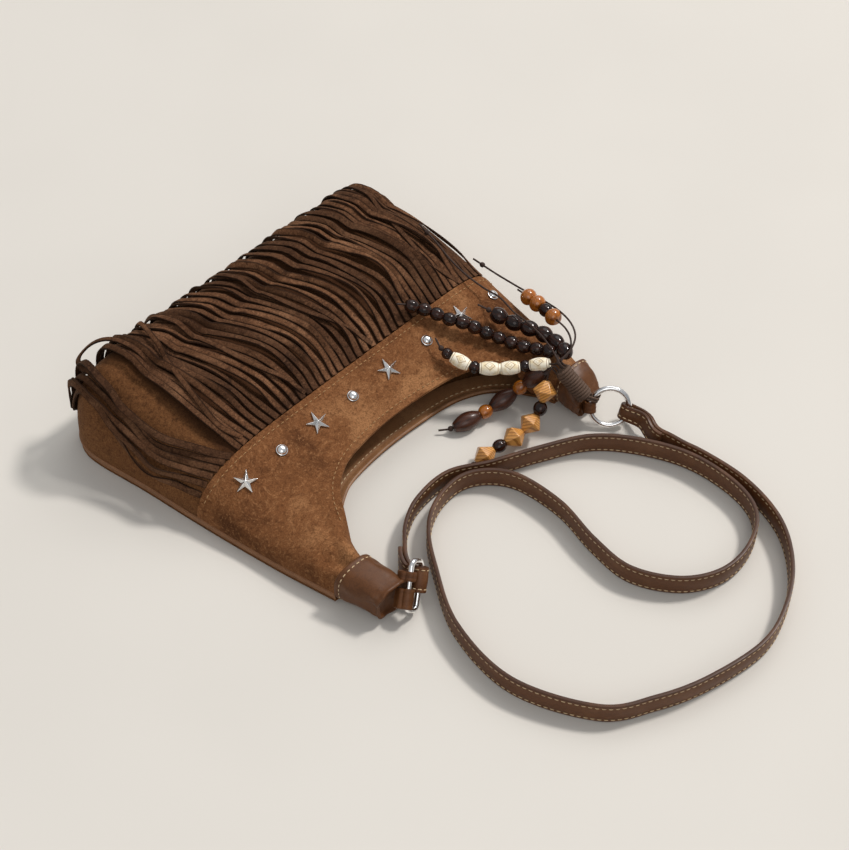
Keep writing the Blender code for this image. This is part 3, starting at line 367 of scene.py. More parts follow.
def frames_along(line):
    """Run, side and up directions along a line that don't turn about it."""
    up = Vector((0, 0, 1))
    frames = []
    for k in range(len(line)):
        run = (Vector(line[min(k + 1, len(line) - 1)]) - Vector(line[max(k - 1, 0)])).normalized()
        up = (up - run * up.dot(run)).normalized()
        frames.append((run, run.cross(up), up))
    return frames


# Materials: shared effects as node groups

def rgb(r, g, b):
    """A screen colour from 0 to 255 as a linear one."""
    return (*(((c / 255) / 12.92 if c < 11 else ((c / 255 + 0.055) / 1.055) ** 2.4)
              for c in (r, g, b)), 1.0)


class Wires:
    """Places shader nodes in a tree and joins their sockets."""

    def __init__(self, tree):
        self.tree = tree
        self.count = 0

    def node(self, kind, inputs=None, **settings):
        made = self.tree.nodes.new(kind)
        made.location = (220 * (self.count % 8), -260 * (self.count // 8))
        self.count += 1
        for key, value in settings.items():
            setattr(made, key, value)
        for key, value in (inputs or {}).items():
            self.feed(made, key, value)
        return made

    def feed(self, made, key, value):
        if isinstance(value, bpy.types.NodeSocket):
            self.tree.links.new(value, made.inputs[key])
        else:
            made.inputs[key].default_value = value

    def maths(self, operation, a, b=None, clamp=False):
        made = self.node("ShaderNodeMath", {0: a}, operation=operation, use_clamp=clamp)
        if b is not None:
            self.feed(made, 1, b)
        return made.outputs[0]

    def mask(self, value, low, high):
        """0 below low, 1 above high, smooth between."""
        made = self.node("ShaderNodeMapRange", {"Value": value, "From Min": low, "From Max": high},
                         interpolation_type="SMOOTHSTEP")
        return made.outputs["Result"]

    def mix(self, share, a, b, way="MIX"):
        made = self.node("ShaderNodeMix", {0: share, 6: a, 7: b}, data_type="RGBA", blend_type=way)
        return made.outputs[2]

    def noise(self, place, scale, detail=3.0, roughness=0.5):
        made = self.node("ShaderNodeTexNoise", {"Vector": place, "Scale": scale, "Detail": detail,
                                                "Roughness": roughness})
        return made.outputs[0]


def effect_group(name, inputs, outputs):
    """An empty node group with named sockets, its wires, and its input and output nodes."""
    tree = bpy.data.node_groups.new(name, "ShaderNodeTree")
    for label, kind, value in inputs:
        socket = tree.interface.new_socket(label, in_out="INPUT", socket_type=kind)
        socket.default_value = value
    for label, kind in outputs:
        tree.interface.new_socket(label, in_out="OUTPUT", socket_type=kind)
    wires = Wires(tree)
    return tree, wires, wires.node("NodeGroupInput"), wires.node("NodeGroupOutput")


COLOUR, NUMBER, ARROW = "NodeSocketColor", "NodeSocketFloat", "NodeSocketVector"


def suede_nap_group():
    """Napped suede: brushed light and dark patches, short fibres and a soft uneven surface."""
    tree, w, start, end = effect_group(
        "suede_nap",
        [("Nap colour", COLOUR, (0.2, 0.09, 0.04, 1)), ("Brushed colour", COLOUR, (0.3, 0.15, 0.07, 1)),
         ("Shade colour", COLOUR, (0.08, 0.035, 0.015, 1)), ("Patch size", NUMBER, 22.0),
         ("Patch strength", NUMBER, 0.6), ("Fibre depth", NUMBER, 0.5), ("Piece shade", NUMBER, 0.0)],
        [("Colour", COLOUR), ("Roughness", NUMBER), ("Normal", ARROW)])
    place = w.node("ShaderNodeTexCoord").outputs["Object"]
    bend = w.node("ShaderNodeTexNoise", {"Vector": place, "Scale": 30.0, "Detail": 2.0})
    shift = w.node("ShaderNodeVectorMath", {0: bend.outputs["Color"], "Scale": 0.03}, operation="SCALE")
    moved = w.node("ShaderNodeVectorMath", {0: place, 1: shift.outputs[0]}).outputs[0]
    patches = w.noise(moved, start.outputs["Patch size"], 4.0, 0.62)
    bright = w.mask(patches, 0.5, 0.68)
    shade = w.mask(patches, 0.48, 0.3)
    strength = start.outputs["Patch strength"]
    colour = w.mix(w.maths("MULTIPLY", bright, strength), start.outputs["Nap colour"],
                   start.outputs["Brushed colour"])
    colour = w.mix(w.maths("MULTIPLY", shade, strength), colour, start.outputs["Shade colour"])
    mottle = w.noise(place, 330.0, 5.0, 0.75)
    spots = w.mask(mottle, 0.5, 0.64)
    colour = w.mix(w.maths("MULTIPLY", spots, 0.5), colour, start.outputs["Shade colour"])
    light = w.mask(w.noise(moved, 450.0, 4.0, 0.75), 0.5, 0.66)
    colour = w.mix(w.maths("MULTIPLY", light, 0.55), colour, start.outputs["Brushed colour"])
    fibres = w.noise(place, 1100.0, 3.0, 0.8)
    colour = w.mix(w.maths("MULTIPLY", w.mask(fibres, 0.56, 0.4), 0.45), colour,
                   start.outputs["Shade colour"])
    colour = w.mix(start.outputs["Piece shade"], colour, start.outputs["Shade colour"])
    rough = w.node("ShaderNodeMapRange", {"Value": mottle, "To Min": 0.78, "To Max": 0.98})
    low = w.node("ShaderNodeBump", {"Height": mottle, "Strength": 0.35, "Distance": 0.6 * MM})
    fine = w.node("ShaderNodeBump", {"Height": fibres, "Strength": start.outputs["Fibre depth"],
                                     "Distance": 0.25 * MM, "Normal": low.outputs[0]})
    w.feed(end, "Colour", colour)
    w.feed(end, "Roughness", rough.outputs[0])
    w.feed(end, "Normal", fine.outputs[0])
    return tree


def leather_grain_group():
    """Smooth leather: pebble grain, soft creases, rubbed lighter tone and darker hollows."""
    tree, w, start, end = effect_group(
        "leather_grain",
        [("Leather colour", COLOUR, (0.12, 0.055, 0.025, 1)),
         ("Rubbed colour", COLOUR, (0.2, 0.1, 0.05, 1)), ("Crease colour", COLOUR, (0.04, 0.018, 0.009, 1)),
         ("Grain size", NUMBER, 900.0), ("Grain depth", NUMBER, 0.25), ("Gloss", NUMBER, 0.38)],
        [("Colour", COLOUR), ("Roughness", NUMBER), ("Normal", ARROW)])
    place = w.node("ShaderNodeTexCoord").outputs["Object"]
    tone = w.noise(place, 45.0, 4.0, 0.6)
    colour = w.mix(w.maths("MULTIPLY", w.mask(tone, 0.48, 0.68), 0.55), start.outputs["Leather colour"],
                   start.outputs["Rubbed colour"])
    cells = w.node("ShaderNodeTexVoronoi", {"Vector": place, "Scale": start.outputs["Grain size"]},
                   feature="DISTANCE_TO_EDGE")
    valley = w.mask(cells.outputs[0], 0.12, 0.0)
    colour = w.mix(w.maths("MULTIPLY", valley, 0.3), colour, start.outputs["Crease colour"])
    crease = w.node("ShaderNodeTexNoise", {"Vector": place, "Scale": 120.0, "Detail": 5.0,
                                           "Roughness": 0.7})
    folds = w.mask(w.maths("ABSOLUTE", w.maths("SUBTRACT", crease.outputs[0], 0.5)), 0.03, 0.0)
    colour = w.mix(w.maths("MULTIPLY", folds, 0.3), colour, start.outputs["Crease colour"])
    rough = w.maths("ADD", start.outputs["Gloss"], w.maths("MULTIPLY", w.noise(place, 160.0), 0.22))
    grain = w.node("ShaderNodeBump", {"Height": cells.outputs[0], "Distance": 0.15 * MM,
                                      "Strength": start.outputs["Grain depth"]})
    soft = w.node("ShaderNodeBump", {"Height": crease.outputs[0], "Strength": 0.3, "Distance": 0.5 * MM,
                                     "Normal": grain.outputs[0]})
    w.feed(end, "Colour", colour)
    w.feed(end, "Roughness", rough)
    w.feed(end, "Normal", soft.outputs[0])
    return tree


def wood_grain_group():
    """Turned wood: streaks along the bead, darker pores and an uneven tone."""
    tree, w, start, end = effect_group(
        "wood_grain",
        [("Wood colour", COLOUR, (0.5, 0.25, 0.07, 1)), ("Streak colour", COLOUR, (0.25, 0.1, 0.03, 1)),
         ("Streaks", NUMBER, 0.6), ("Streak size", NUMBER, 1.0), ("Ring lines", NUMBER, 0.0),
         ("Gloss", NUMBER, 0.3)],
        [("Colour", COLOUR), ("Roughness", NUMBER), ("Normal", ARROW)])
    spot = w.node("ShaderNodeAttribute", attribute_name="bead_place").outputs["Vector"]
    squeezed = w.node("ShaderNodeMapping", {"Vector": spot, "Scale": (1.0, 1.0, 0.12)}).outputs[0]
    broad = w.noise(squeezed, w.maths("MULTIPLY", start.outputs["Streak size"], 420.0), 3.0, 0.6)
    fine = w.noise(squeezed, w.maths("MULTIPLY", start.outputs["Streak size"], 1500.0), 3.0, 0.6)
    streak = w.mask(w.maths("ADD", w.maths("MULTIPLY", broad, 0.65), w.maths("MULTIPLY", fine, 0.35)),
                    0.46, 0.6)
    colour = w.mix(w.maths("MULTIPLY", streak, start.outputs["Streaks"]), start.outputs["Wood colour"],
                   start.outputs["Streak colour"])
    slanted = w.node("ShaderNodeMapping", {"Vector": spot, "Rotation": (0.5, 0.9, 0.3)}).outputs[0]
    rings = w.node("ShaderNodeTexWave", {"Vector": slanted, "Scale": 210.0, "Distortion": 2.5,
                                         "Detail": 2.0})
    colour = w.mix(w.maths("MULTIPLY", w.mask(rings.outputs[1], 0.55, 0.9), start.outputs["Ring lines"]),
                   colour, start.outputs["Streak colour"])
    rough = w.maths("ADD", start.outputs["Gloss"], w.maths("MULTIPLY", fine, 0.12))
    pores = w.node("ShaderNodeBump", {"Height": fine, "Strength": 0.15, "Distance": 0.1 * MM})
    w.feed(end, "Colour", colour)
    w.feed(end, "Roughness", rough)
    w.feed(end, "Normal", pores.outputs[0])
    return tree


def thread_twist_group():
    """Twisted cord or thread: slanted strands with painted shade in the gaps between them."""
    tree, w, start, end = effect_group(
        "thread_twist",
        [("Thread colour", COLOUR, (0.5, 0.36, 0.2, 1)), ("Gap colour", COLOUR, (0.1, 0.05, 0.03, 1)),
         ("Twist size", NUMBER, 1400.0)],
        [("Colour", COLOUR), ("Roughness", NUMBER), ("Normal", ARROW)])
    place = w.node("ShaderNodeTexCoord").outputs["Object"]
    turned = w.node("ShaderNodeMapping", {"Vector": place, "Rotation": (0.6, 0.5, 0.8)}).outputs[0]
    bands = w.node("ShaderNodeTexWave", {"Vector": turned, "Scale": start.outputs["Twist size"],
                                         "Distortion": 1.5, "Detail": 1.0})
    # Painted shade in the gaps between the twisted strands.
    gap = w.mask(bands.outputs[1], 0.45, 0.1)
    tone = w.noise(place, 600.0)
    colour = w.mix(w.maths("MULTIPLY", gap, 0.5), start.outputs["Thread colour"],
                   start.outputs["Gap colour"])
    colour = w.mix(w.maths("MULTIPLY", w.mask(tone, 0.5, 0.75), 0.4), colour, start.outputs["Gap colour"])
    bump = w.node("ShaderNodeBump", {"Height": bands.outputs[1], "Strength": 0.5, "Distance": 0.1 * MM})
    w.feed(end, "Colour", colour)
    w.feed(end, "Roughness", w.maths("ADD", 0.55, w.maths("MULTIPLY", tone, 0.3)))
    w.feed(end, "Normal", bump.outputs[0])
    return tree


def new_surface(name, **fixed):
    """A material's wires and shader, with numbers that are the same all over set on the shader."""
    material = bpy.data.materials.new(name)
    material.use_nodes = True
    wires = Wires(material.node_tree)
    shader = material.node_tree.nodes["Principled BSDF"]
    for label, value in fixed.items():
        shader.inputs[label.replace("_", " ")].default_value = value
    return material, wires, shader


def grouped_surface(name, tree, values, **fixed):
    """A material whose colour, roughness and normal come from a shared effect."""
    material, wires, shader = new_surface(name, **fixed)
    effect = wires.node("ShaderNodeGroup", node_tree=tree)
    for label, value in values.items():
        effect.inputs[label].default_value = value
    wires.feed(shader, "Base Color", effect.outputs["Colour"])
    wires.feed(shader, "Roughness", effect.outputs["Roughness"])
    wires.feed(shader, "Normal", effect.outputs["Normal"])
    return material


def fringe_surface(nap):
    """Fringe suede, with some strips darker in tone, painted shade on the strips at the left side and
    painted shade across each strip towards its edges.
    """
    material = grouped_surface(
        "fringe_suede", nap,
        {"Nap colour": rgb(110, 74, 50), "Brushed colour": rgb(150, 108, 78),
         "Shade colour": rgb(26, 13, 7), "Patch size": 34.0, "Patch strength": 0.65, "Fibre depth": 0.4},
        Sheen_Weight=0.1, Sheen_Roughness=0.5, Sheen_Tint=rgb(190, 150, 110), Specular_IOR_Level=0.1)
    wires = Wires(material.node_tree)
    mark = wires.node("ShaderNodeAttribute", attribute_name="strip_tone_and_shade").outputs["Vector"]
    tone = wires.node("ShaderNodeSeparateXYZ", {0: mark})
    # Each strip's own tone, with painted shade on the strips at the left side.
    strip_tone_and_side_shade = wires.maths("MULTIPLY", tone.outputs[0], 0.55)
    # Painted shade across each strip, deepening from the middle out to its edges.
    painted_edge_shade = wires.maths("MULTIPLY", wires.mask(tone.outputs[1], 0.35, 1.0), 0.9)
    effect = next(n for n in material.node_tree.nodes if n.type == "GROUP")
    wires.feed(effect, "Piece shade", wires.maths("MAXIMUM", strip_tone_and_side_shade, painted_edge_shade))
    return material


def panel_surface(nap):
    """Front and back suede, with painted shade where the fringe lies over it."""
    material = grouped_surface(
        "panel_suede", nap,
        {"Nap colour": rgb(112, 73, 43), "Brushed colour": rgb(138, 94, 58),
         "Shade colour": rgb(50, 28, 15), "Patch size": 18.0, "Patch strength": 0.6},
        Sheen_Weight=0.1, Sheen_Roughness=0.5, Sheen_Tint=rgb(200, 160, 120), Specular_IOR_Level=0.1)
    wires = Wires(material.node_tree)
    mark = wires.node("ShaderNodeAttribute", attribute_name="painted_fringe_shade").outputs["Vector"]
    fringe_shade = wires.node("ShaderNodeSeparateXYZ", {0: mark})
    effect = next(n for n in material.node_tree.nodes if n.type == "GROUP")
    # Painted shade: the panel is darkened towards its shade colour where the fringe lies over it.
    wires.feed(effect, "Piece shade", wires.maths("MULTIPLY", fringe_shade.outputs[0], 0.8))
    return material


def bone_surface():
    """Ivory-coloured beads with a carved lozenge and end lines rubbed with brown."""
    material, w, shader = new_surface("bone", Specular_IOR_Level=0.4)
    spot = w.node("ShaderNodeAttribute", attribute_name="bead_turn").outputs["Vector"]
    axes = w.node("ShaderNodeSeparateXYZ", {0: spot})
    turn, along = axes.outputs[0], axes.outputs[1]
    fold = w.maths("ABSOLUTE", w.maths("SUBTRACT", w.maths("FRACT", w.maths("MULTIPLY", turn, 3.0)), 0.5))
    far = w.maths("ABSOLUTE", w.maths("SUBTRACT", along, 0.5))
    ring = w.maths("ADD", w.maths("MULTIPLY", fold, 1.15), w.maths("MULTIPLY", far, 1.35))
    line = w.mask(w.maths("ABSOLUTE", w.maths("SUBTRACT", ring, 0.36)), 0.045, 0.015)
    inner = w.mask(w.maths("ABSOLUTE", w.maths("SUBTRACT", ring, 0.16)), 0.035, 0.01)
    ends = w.mask(w.maths("ABSOLUTE", w.maths("SUBTRACT", far, 0.42)), 0.02, 0.008)
    cut = w.maths("MAXIMUM", w.maths("MAXIMUM", line, w.maths("MULTIPLY", inner, 0.6)), ends)
    place = w.node("ShaderNodeTexCoord").outputs["Object"]
    tone = w.noise(place, 300.0, 3.0)
    base = w.mix(w.mask(tone, 0.4, 0.7), rgb(255, 246, 224), rgb(238, 219, 180))
    colour = w.mix(w.maths("MULTIPLY", cut, 0.75), base, rgb(150, 106, 58))
    bump = w.node("ShaderNodeBump", {"Height": cut, "Strength": 0.6, "Distance": 0.3 * MM})
    bump.invert = True
    w.feed(shader, "Base Color", colour)
    w.feed(shader, "Roughness", w.maths("ADD", 0.38, w.maths("MULTIPLY", tone, 0.2)))
    w.feed(shader, "Normal", bump.outputs[0])
    return material


def metal_surface(name, colour, shine):
    """Plated metal with faint smears and fine scratches."""
    material, w, shader = new_surface(name, Metallic=1.0)
    place = w.node("ShaderNodeTexCoord").outputs["Object"]
    smear = w.noise(place, 180.0, 3.0, 0.6)
    stretched = w.node("ShaderNodeMapping", {"Vector": place, "Scale": (1.0, 6.0, 1.0)}).outputs[0]
    scratch = w.noise(stretched, 900.0, 2.0, 0.7)
    dark = tuple(c * 0.72 for c in colour[:3]) + (1.0,)
    w.feed(shader, "Base Color", w.mix(w.mask(smear, 0.45, 0.7), colour, dark))
    w.feed(shader, "Roughness", w.maths("ADD", shine, w.maths("MULTIPLY", scratch, 0.12)))
    bump = w.node("ShaderNodeBump", {"Height": scratch, "Strength": 0.06, "Distance": 0.1 * MM})
    w.feed(shader, "Normal", bump.outputs[0])
    return material


def floor_surface():
    """Pale matt paper."""
    material, w, shader = new_surface("floor_paper", Roughness=0.9, Specular_IOR_Level=0.15)
    place = w.node("ShaderNodeTexCoord").outputs["Object"]
    tone = w.noise(place, 6.0, 2.0)
    w.feed(shader, "Base Color", w.mix(w.mask(tone, 0.35, 0.65), rgb(217, 212, 204), rgb(215, 210, 202)))
    return material


def make_materials():
    nap = suede_nap_group()
    grain = leather_grain_group()
    wood = wood_grain_group()
    twist = thread_twist_group()
    made = {
        "suede": grouped_surface(
            "suede", nap,
            {"Nap colour": rgb(124, 80, 48), "Brushed colour": rgb(166, 118, 78),
             "Shade colour": rgb(66, 36, 18), "Patch size": 22.0, "Patch strength": 0.8},
            Sheen_Weight=0.12, Sheen_Roughness=0.5, Sheen_Tint=rgb(200, 160, 120), Specular_IOR_Level=0.1),
        "panel_suede": panel_surface(nap),
        "fringe_suede": fringe_surface(nap),
        "leather": grouped_surface(
            "leather", grain,
            {"Leather colour": rgb(96, 59, 32), "Rubbed colour": rgb(118, 76, 44),
             "Crease colour": rgb(50, 28, 15), "Gloss": 0.3}, Specular_IOR_Level=0.26),
        # Painted light: a lighter copy of the leather for the side strip, standing in for light falling on
        # it.
        "side_leather_painted_light": grouped_surface(
            "side_leather_painted_light", grain,
            {"Leather colour": rgb(146, 102, 68), "Rubbed colour": rgb(168, 122, 84),
             "Crease colour": rgb(84, 54, 32), "Grain depth": 0.15, "Gloss": 0.34},
            Specular_IOR_Level=0.3),
        # Painted light: the facing's leather is made lighter, standing in for light falling on it inside
        # the mouth.
        "facing_leather_painted_light": grouped_surface(
            "facing_leather_painted_light", grain,
            {"Leather colour": rgb(142, 100, 66), "Rubbed colour": rgb(168, 124, 86),
             "Crease colour": rgb(76, 48, 28), "Gloss": 0.3}, Specular_IOR_Level=0.4),
        "strap_leather": grouped_surface(
            "strap_leather", grain,
            {"Leather colour": rgb(99, 62, 36), "Rubbed colour": rgb(118, 79, 50),
             "Crease colour": rgb(58, 34, 19), "Grain depth": 0.15, "Gloss": 0.34},
            Specular_IOR_Level=0.26),
        "edge_paint": grouped_surface(
            "edge_paint", grain,
            {"Leather colour": rgb(72, 43, 25), "Rubbed colour": rgb(108, 70, 42),
             "Crease colour": rgb(42, 24, 14), "Grain depth": 0.05, "Gloss": 0.26},
            Specular_IOR_Level=0.28),
        "thread": grouped_surface(
            "thread", twist,
            {"Thread colour": rgb(222, 196, 156), "Gap colour": rgb(160, 124, 84), "Twist size": 900.0},
            Specular_IOR_Level=0.25),
        "brown_thread": grouped_surface(
            "brown_thread", twist,
            {"Thread colour": rgb(178, 138, 94), "Gap colour": rgb(104, 70, 42), "Twist size": 900.0},
            Specular_IOR_Level=0.25),
        "cord": grouped_surface(
            "cord", twist,
            {"Thread colour": rgb(62, 44, 36), "Gap colour": rgb(24, 16, 13), "Twist size": 500.0},
            Specular_IOR_Level=0.35),
        "wrap_cord": grouped_surface(
            "wrap_cord", twist,
            {"Thread colour": rgb(98, 76, 62), "Gap colour": rgb(38, 27, 21), "Twist size": 500.0},
            Specular_IOR_Level=0.3),
        "ebony": grouped_surface(
            "ebony", wood,
            {"Wood colour": rgb(26, 15, 12), "Streak colour": rgb(72, 36, 20), "Streaks": 0.5,
             "Gloss": 0.06}, Specular_IOR_Level=0.32, Coat_Weight=0.15, Coat_Roughness=0.03),
        "rosewood": grouped_surface(
            "rosewood", wood,
            {"Wood colour": rgb(74, 43, 31), "Streak colour": rgb(32, 18, 14), "Streaks": 0.8,
             "Streak size": 0.7, "Gloss": 0.22}, Specular_IOR_Level=0.35, Coat_Weight=0.15,
            Coat_Roughness=0.12),
        "olive_wood": grouped_surface(
            "olive_wood", wood,
            {"Wood colour": rgb(216, 156, 82), "Streak colour": rgb(150, 88, 36), "Streaks": 0.3,
             "Streak size": 0.8, "Ring lines": 0.75, "Gloss": 0.26}, Coat_Weight=0.3, Coat_Roughness=0.2),
        "amber": grouped_surface(
            "amber", wood,
            {"Wood colour": rgb(172, 100, 30), "Streak colour": rgb(112, 56, 14), "Streaks": 0.75,
             "Streak size": 0.6, "Ring lines": 0.2, "Gloss": 0.1}, Coat_Weight=0.5, Coat_Roughness=0.05),
        "bone": bone_surface(),
        "steel": metal_surface("steel", (0.97, 0.96, 0.95, 1.0), 0.1),
        "star_steel": metal_surface("star_steel", (1.0, 0.98, 0.95, 1.0), 0.15),
        "floor": floor_surface(),
    }
    return made


# Shape of the bag, as in the CAD model, apart from the corner's bulge, the wrinkles and the pucker

def lean(x, y, z):
    """A point of the straight pattern, moved to where the leaning, slumped horns put it."""
    right_side = smoothstep(0, BODY_HALF_WIDTH / 2, -x)
    slump = smoothstep(SLUMP_FROM_Y, HORN_END_Y, y) * right_side
    bulge = smoothstep(-60 * MM, 0, y) * (1 - smoothstep(80 * MM, HORN_END_Y, y)) * right_side
    corner = math.exp(-((y + 60 * MM) / (28 * MM)) ** 2) * smoothstep(0.4, 1.0, x / BODY_HALF_WIDTH)
    across = x + LEAN * y - RIGHT_SIDE_BULGE * bulge + LEFT_CORNER_BULGE * corner
    return Vector((across, y - RIGHT_HORN_SLUMP * slump, z))


def half_width(y):
    """Half of the pattern's width, with the bottom corners rounded."""
    taper = HORN_TAPER * (abs(y - WIDEST_AT) / TAPER_SPAN) ** 1.5
    t = min(1.0, max(0.0, (BOTTOM_Y + CORNER_RADIUS - y) / CORNER_RADIUS))
    return BODY_HALF_WIDTH - taper - CORNER_RADIUS * (1 - math.sqrt(1 - t * t)) * 0.55


def middle_height(y):
    """Height of the front along the middle line."""
    if y < CREST_Y:
        t = min(1.0, (CREST_Y - y) / (CREST_Y - BOTTOM_Y))
        base = EDGE_HEIGHT + GAP
        return base + (CREST_HEIGHT - base) * (1 - t**3) ** (1 / 3)
    marks = [CREST_Y, SEAM_Y, RIM_HALF[0][1] * MM, HORN_END_Y]
    straight = float(np.interp(y, marks, [CREST_HEIGHT, SEAM_HEIGHT, RIM_HEIGHT, HORN_HEIGHT]))
    rounding = 5 * MM * math.exp(-((y - CREST_Y) / (18 * MM)) ** 2)
    return straight - rounding * smoothstep(CREST_Y, CREST_Y + 12 * MM, y)


def front_height(x, y):
    """Height of the front without wrinkles: full across the middle, round towards the sides."""
    share = min(1.0, abs(x) / half_width(y))
    power = 14 - 8.5 * smoothstep(BOTTOM_Y, -5 * MM, y)
    power += 4 * smoothstep(0, BODY_HALF_WIDTH / 2, -x) + 6 * smoothstep(60 * MM, 110 * MM, y)
    profile = math.sqrt(max(0.0, 1 - share ** power))
    return EDGE_HEIGHT + GAP + (middle_height(y) - EDGE_HEIGHT - GAP) * profile


def lift(x, y):
    """How far a horn rises off the floor."""
    rise = LEFT_HORN_LIFT if x > 0 else RIGHT_HORN_LIFT
    return rise * smoothstep(LIFT_FROM_Y, HORN_END_Y, y)


def yoke_height(x, y, from_rim):
    """Height of the yoke, which comes down to the back where the mouth is closed."""
    high = front_height(x, y)
    closed = smoothstep(MOUTH_CLOSES_FROM, MOUTH_CLOSED_AT, y)
    reach = min(1.0, from_rim / HORN_EDGE_RADIUS)
    arch = math.sqrt(max(0.0, 1 - (1 - reach) ** 2))
    low = PANEL_THICKNESS + GAP + 1.2 * MM
    return high + (low + (high - low) * arch - high) * closed + lift(x, y)


def rim_line(steps):
    """The rim of the mouth from the left horn round to the right one."""
    half = [(x * MM, y * MM) for x, y in RIM_HALF]
    both = [(x, y) for x, y in reversed(half)] + [(-x, y) for x, y in half[1:]]
    fine = smooth_line(both, 2 * MM)
    return spaced(fine, np.linalg.norm(np.diff(fine, axis=0), axis=1).sum() / steps)


def wrinkle(x, y, amount):
    """How far the soft suede stands in or out of its plain form here."""
    slow = ripple(1, x * 22, y * 22) + 0.6 * ripple(2, x * 45, y * 38)
    quick = 0.35 * ripple(3, x * 110, y * 90)
    return amount * (slow + quick)


def pucker(x, y):
    """Gathers where the horn's suede is drawn into its cap, and a dimple beside the rim."""
    drawn_in = smoothstep(92 * MM, 117 * MM, y)
    gathers = 1.2 * MM * math.sin(x / (2.3 * MM) + 2.2 * ripple(31, x * 60, y * 40))
    dimple = -2.6 * MM * math.exp(-((x - 103 * MM) / (4 * MM)) ** 2 - ((y - 110 * MM) / (7 * MM)) ** 2)
    off_fold = (x - y * 0.55 - 35 * MM) / (3.2 * MM)
    fold = -1.1 * MM * math.exp(-off_fold ** 2) * smoothstep(60 * MM, 96 * MM, y)
    return (gathers - 0.3 * MM) * drawn_in + dimple + fold


def skin(name, outer, faces, thickness, material, nodes, marks=None):
    """A closed skin: the outer surface, an inner one and the cut edge between them."""
    mesh = bpy.data.meshes.new("normals")
    mesh.from_pydata([tuple(v) for v in outer], [], faces)
    normals = [v.normal.copy() for v in mesh.vertices]
    bpy.data.meshes.remove(mesh)
    inner = [p - n * thickness for p, n in zip(outer, normals)]
    count = len(outer)
    flipped = [tuple(count + v for v in reversed(f)) for f in faces]
    used = set()
    for face in faces:
        used.update(zip(face, face[1:] + face[:1]))
    walls = [(b, a, count + a, count + b) for a, b in used if (b, a) not in used]
    return make_piece(name, [*outer, *inner], [*faces, *flipped, *walls], material, "bag",
                      nodes, 60, marks)


def edge_shares(count, power=0.6):
    """Shares from -1 to 1, closer together near both ends."""
    return [math.copysign(math.sin(abs(s) * math.pi / 2) ** power, s)
            for s in np.linspace(-1, 1, count)]


def front_panel(looks):
    """Soft front panel that shows between the strips and at the sides."""
    turn = CREST_Y - BOTTOM_Y
    rows = [CREST_Y - turn * math.sin(math.radians(90 * k / 26)) ** (2 / 3) for k in range(26, 0, -1)]
    rows += list(np.linspace(CREST_Y, SEAM_Y, 44))
    shares = edge_shares(121)
    outer, fringe_shade = [], []
    for y in rows:
        for s in shares:
            x = s * half_width(y)
            # Painted shade mark: where the fringe lies over the panel, its material paints shade.
            strips = smoothstep(97 * MM, 90 * MM, x) * smoothstep(1.0, 0.96, abs(s))
            fringe_shade.append((strips, 0, 0))
            edge = smoothstep(1.0, 0.93, abs(s)) * smoothstep(BOTTOM_Y, BOTTOM_Y + 12 * MM, y)
            sink = wrinkle(x, y, 0.8 * MM) - 0.8 * MM
            side = 1.4 * MM * ripple(5, x * 20, y * 45) * smoothstep(0.8, 0.97, abs(s))
            outer.append(lean(x, y, front_height(x, y) + (sink + side) * edge))
    faces = grid_faces(len(rows), len(shares))
    return skin("front_panel_suede", outer, faces, PANEL_THICKNESS * 0.8, looks["panel_suede"],
                ["front_panel"], {"painted_fringe_shade": fringe_shade + [(0, 0, 0)] * len(fringe_shade)})


def yoke_grid(columns, rows):
    """Pattern points from the mouth's rim out to the yoke's edge, with the share of the way."""
    side = [(half_width(y), y) for y in np.linspace(HORN_END_Y, SEAM_Y + GAP, columns // 4)]
    seam = [(-s * half_width(SEAM_Y + GAP), SEAM_Y + GAP) for s in edge_shares(columns // 2)[1:-1]]
    edge = side + seam + [(-x, y) for x, y in reversed(side)]
    rim = rim_line(len(edge) - 1)
    grid = []
    for i in range(rows):
        share = math.sin(i / (rows - 1) * math.pi / 2) ** 0.9
        for (rx, ry), (ex, ey) in zip(rim, edge):
            grid.append((mixed(rx, ex, share), mixed(ry, ey, share), share))
    return grid, rim, len(edge)


def yoke_panel(looks):
    """Soft yoke with a turned edge at the seam and at the rim of the mouth."""
    grid, rim, wide = yoke_grid(200, 40)
    outer = []
    for number, (x, y, share) in enumerate(grid):
        rx, ry = rim[number % wide]
        from_rim = math.hypot(x - rx, y - ry)
        z = yoke_height(x, y, from_rim)
        edge = smoothstep(0, 9 * MM, from_rim) * smoothstep(1.0, 0.94, share)
        creased = 0.5 + 1.0 * smoothstep(80 * MM, 112 * MM, y)
        z += wrinkle(x, y, YOKE_WRINKLE) * creased * edge
        z += pucker(x, y) * smoothstep(0, 4 * MM, from_rim) * smoothstep(1.0, 0.96, share)
        z += 0.5 * MM * smoothstep(3 * MM, 0, from_rim) * (1 - smoothstep(85 * MM, 100 * MM, y))
        z += 0.6 * MM * smoothstep(5 * MM, 1 * MM, y - SEAM_Y) * (1 if share > 0.6 else 0)
        outer.append(lean(x, y, z))
    faces = grid_faces(40, wide)
    return skin("yoke_suede", outer, faces, PANEL_THICKNESS, looks["suede"], ["yoke_panel"])


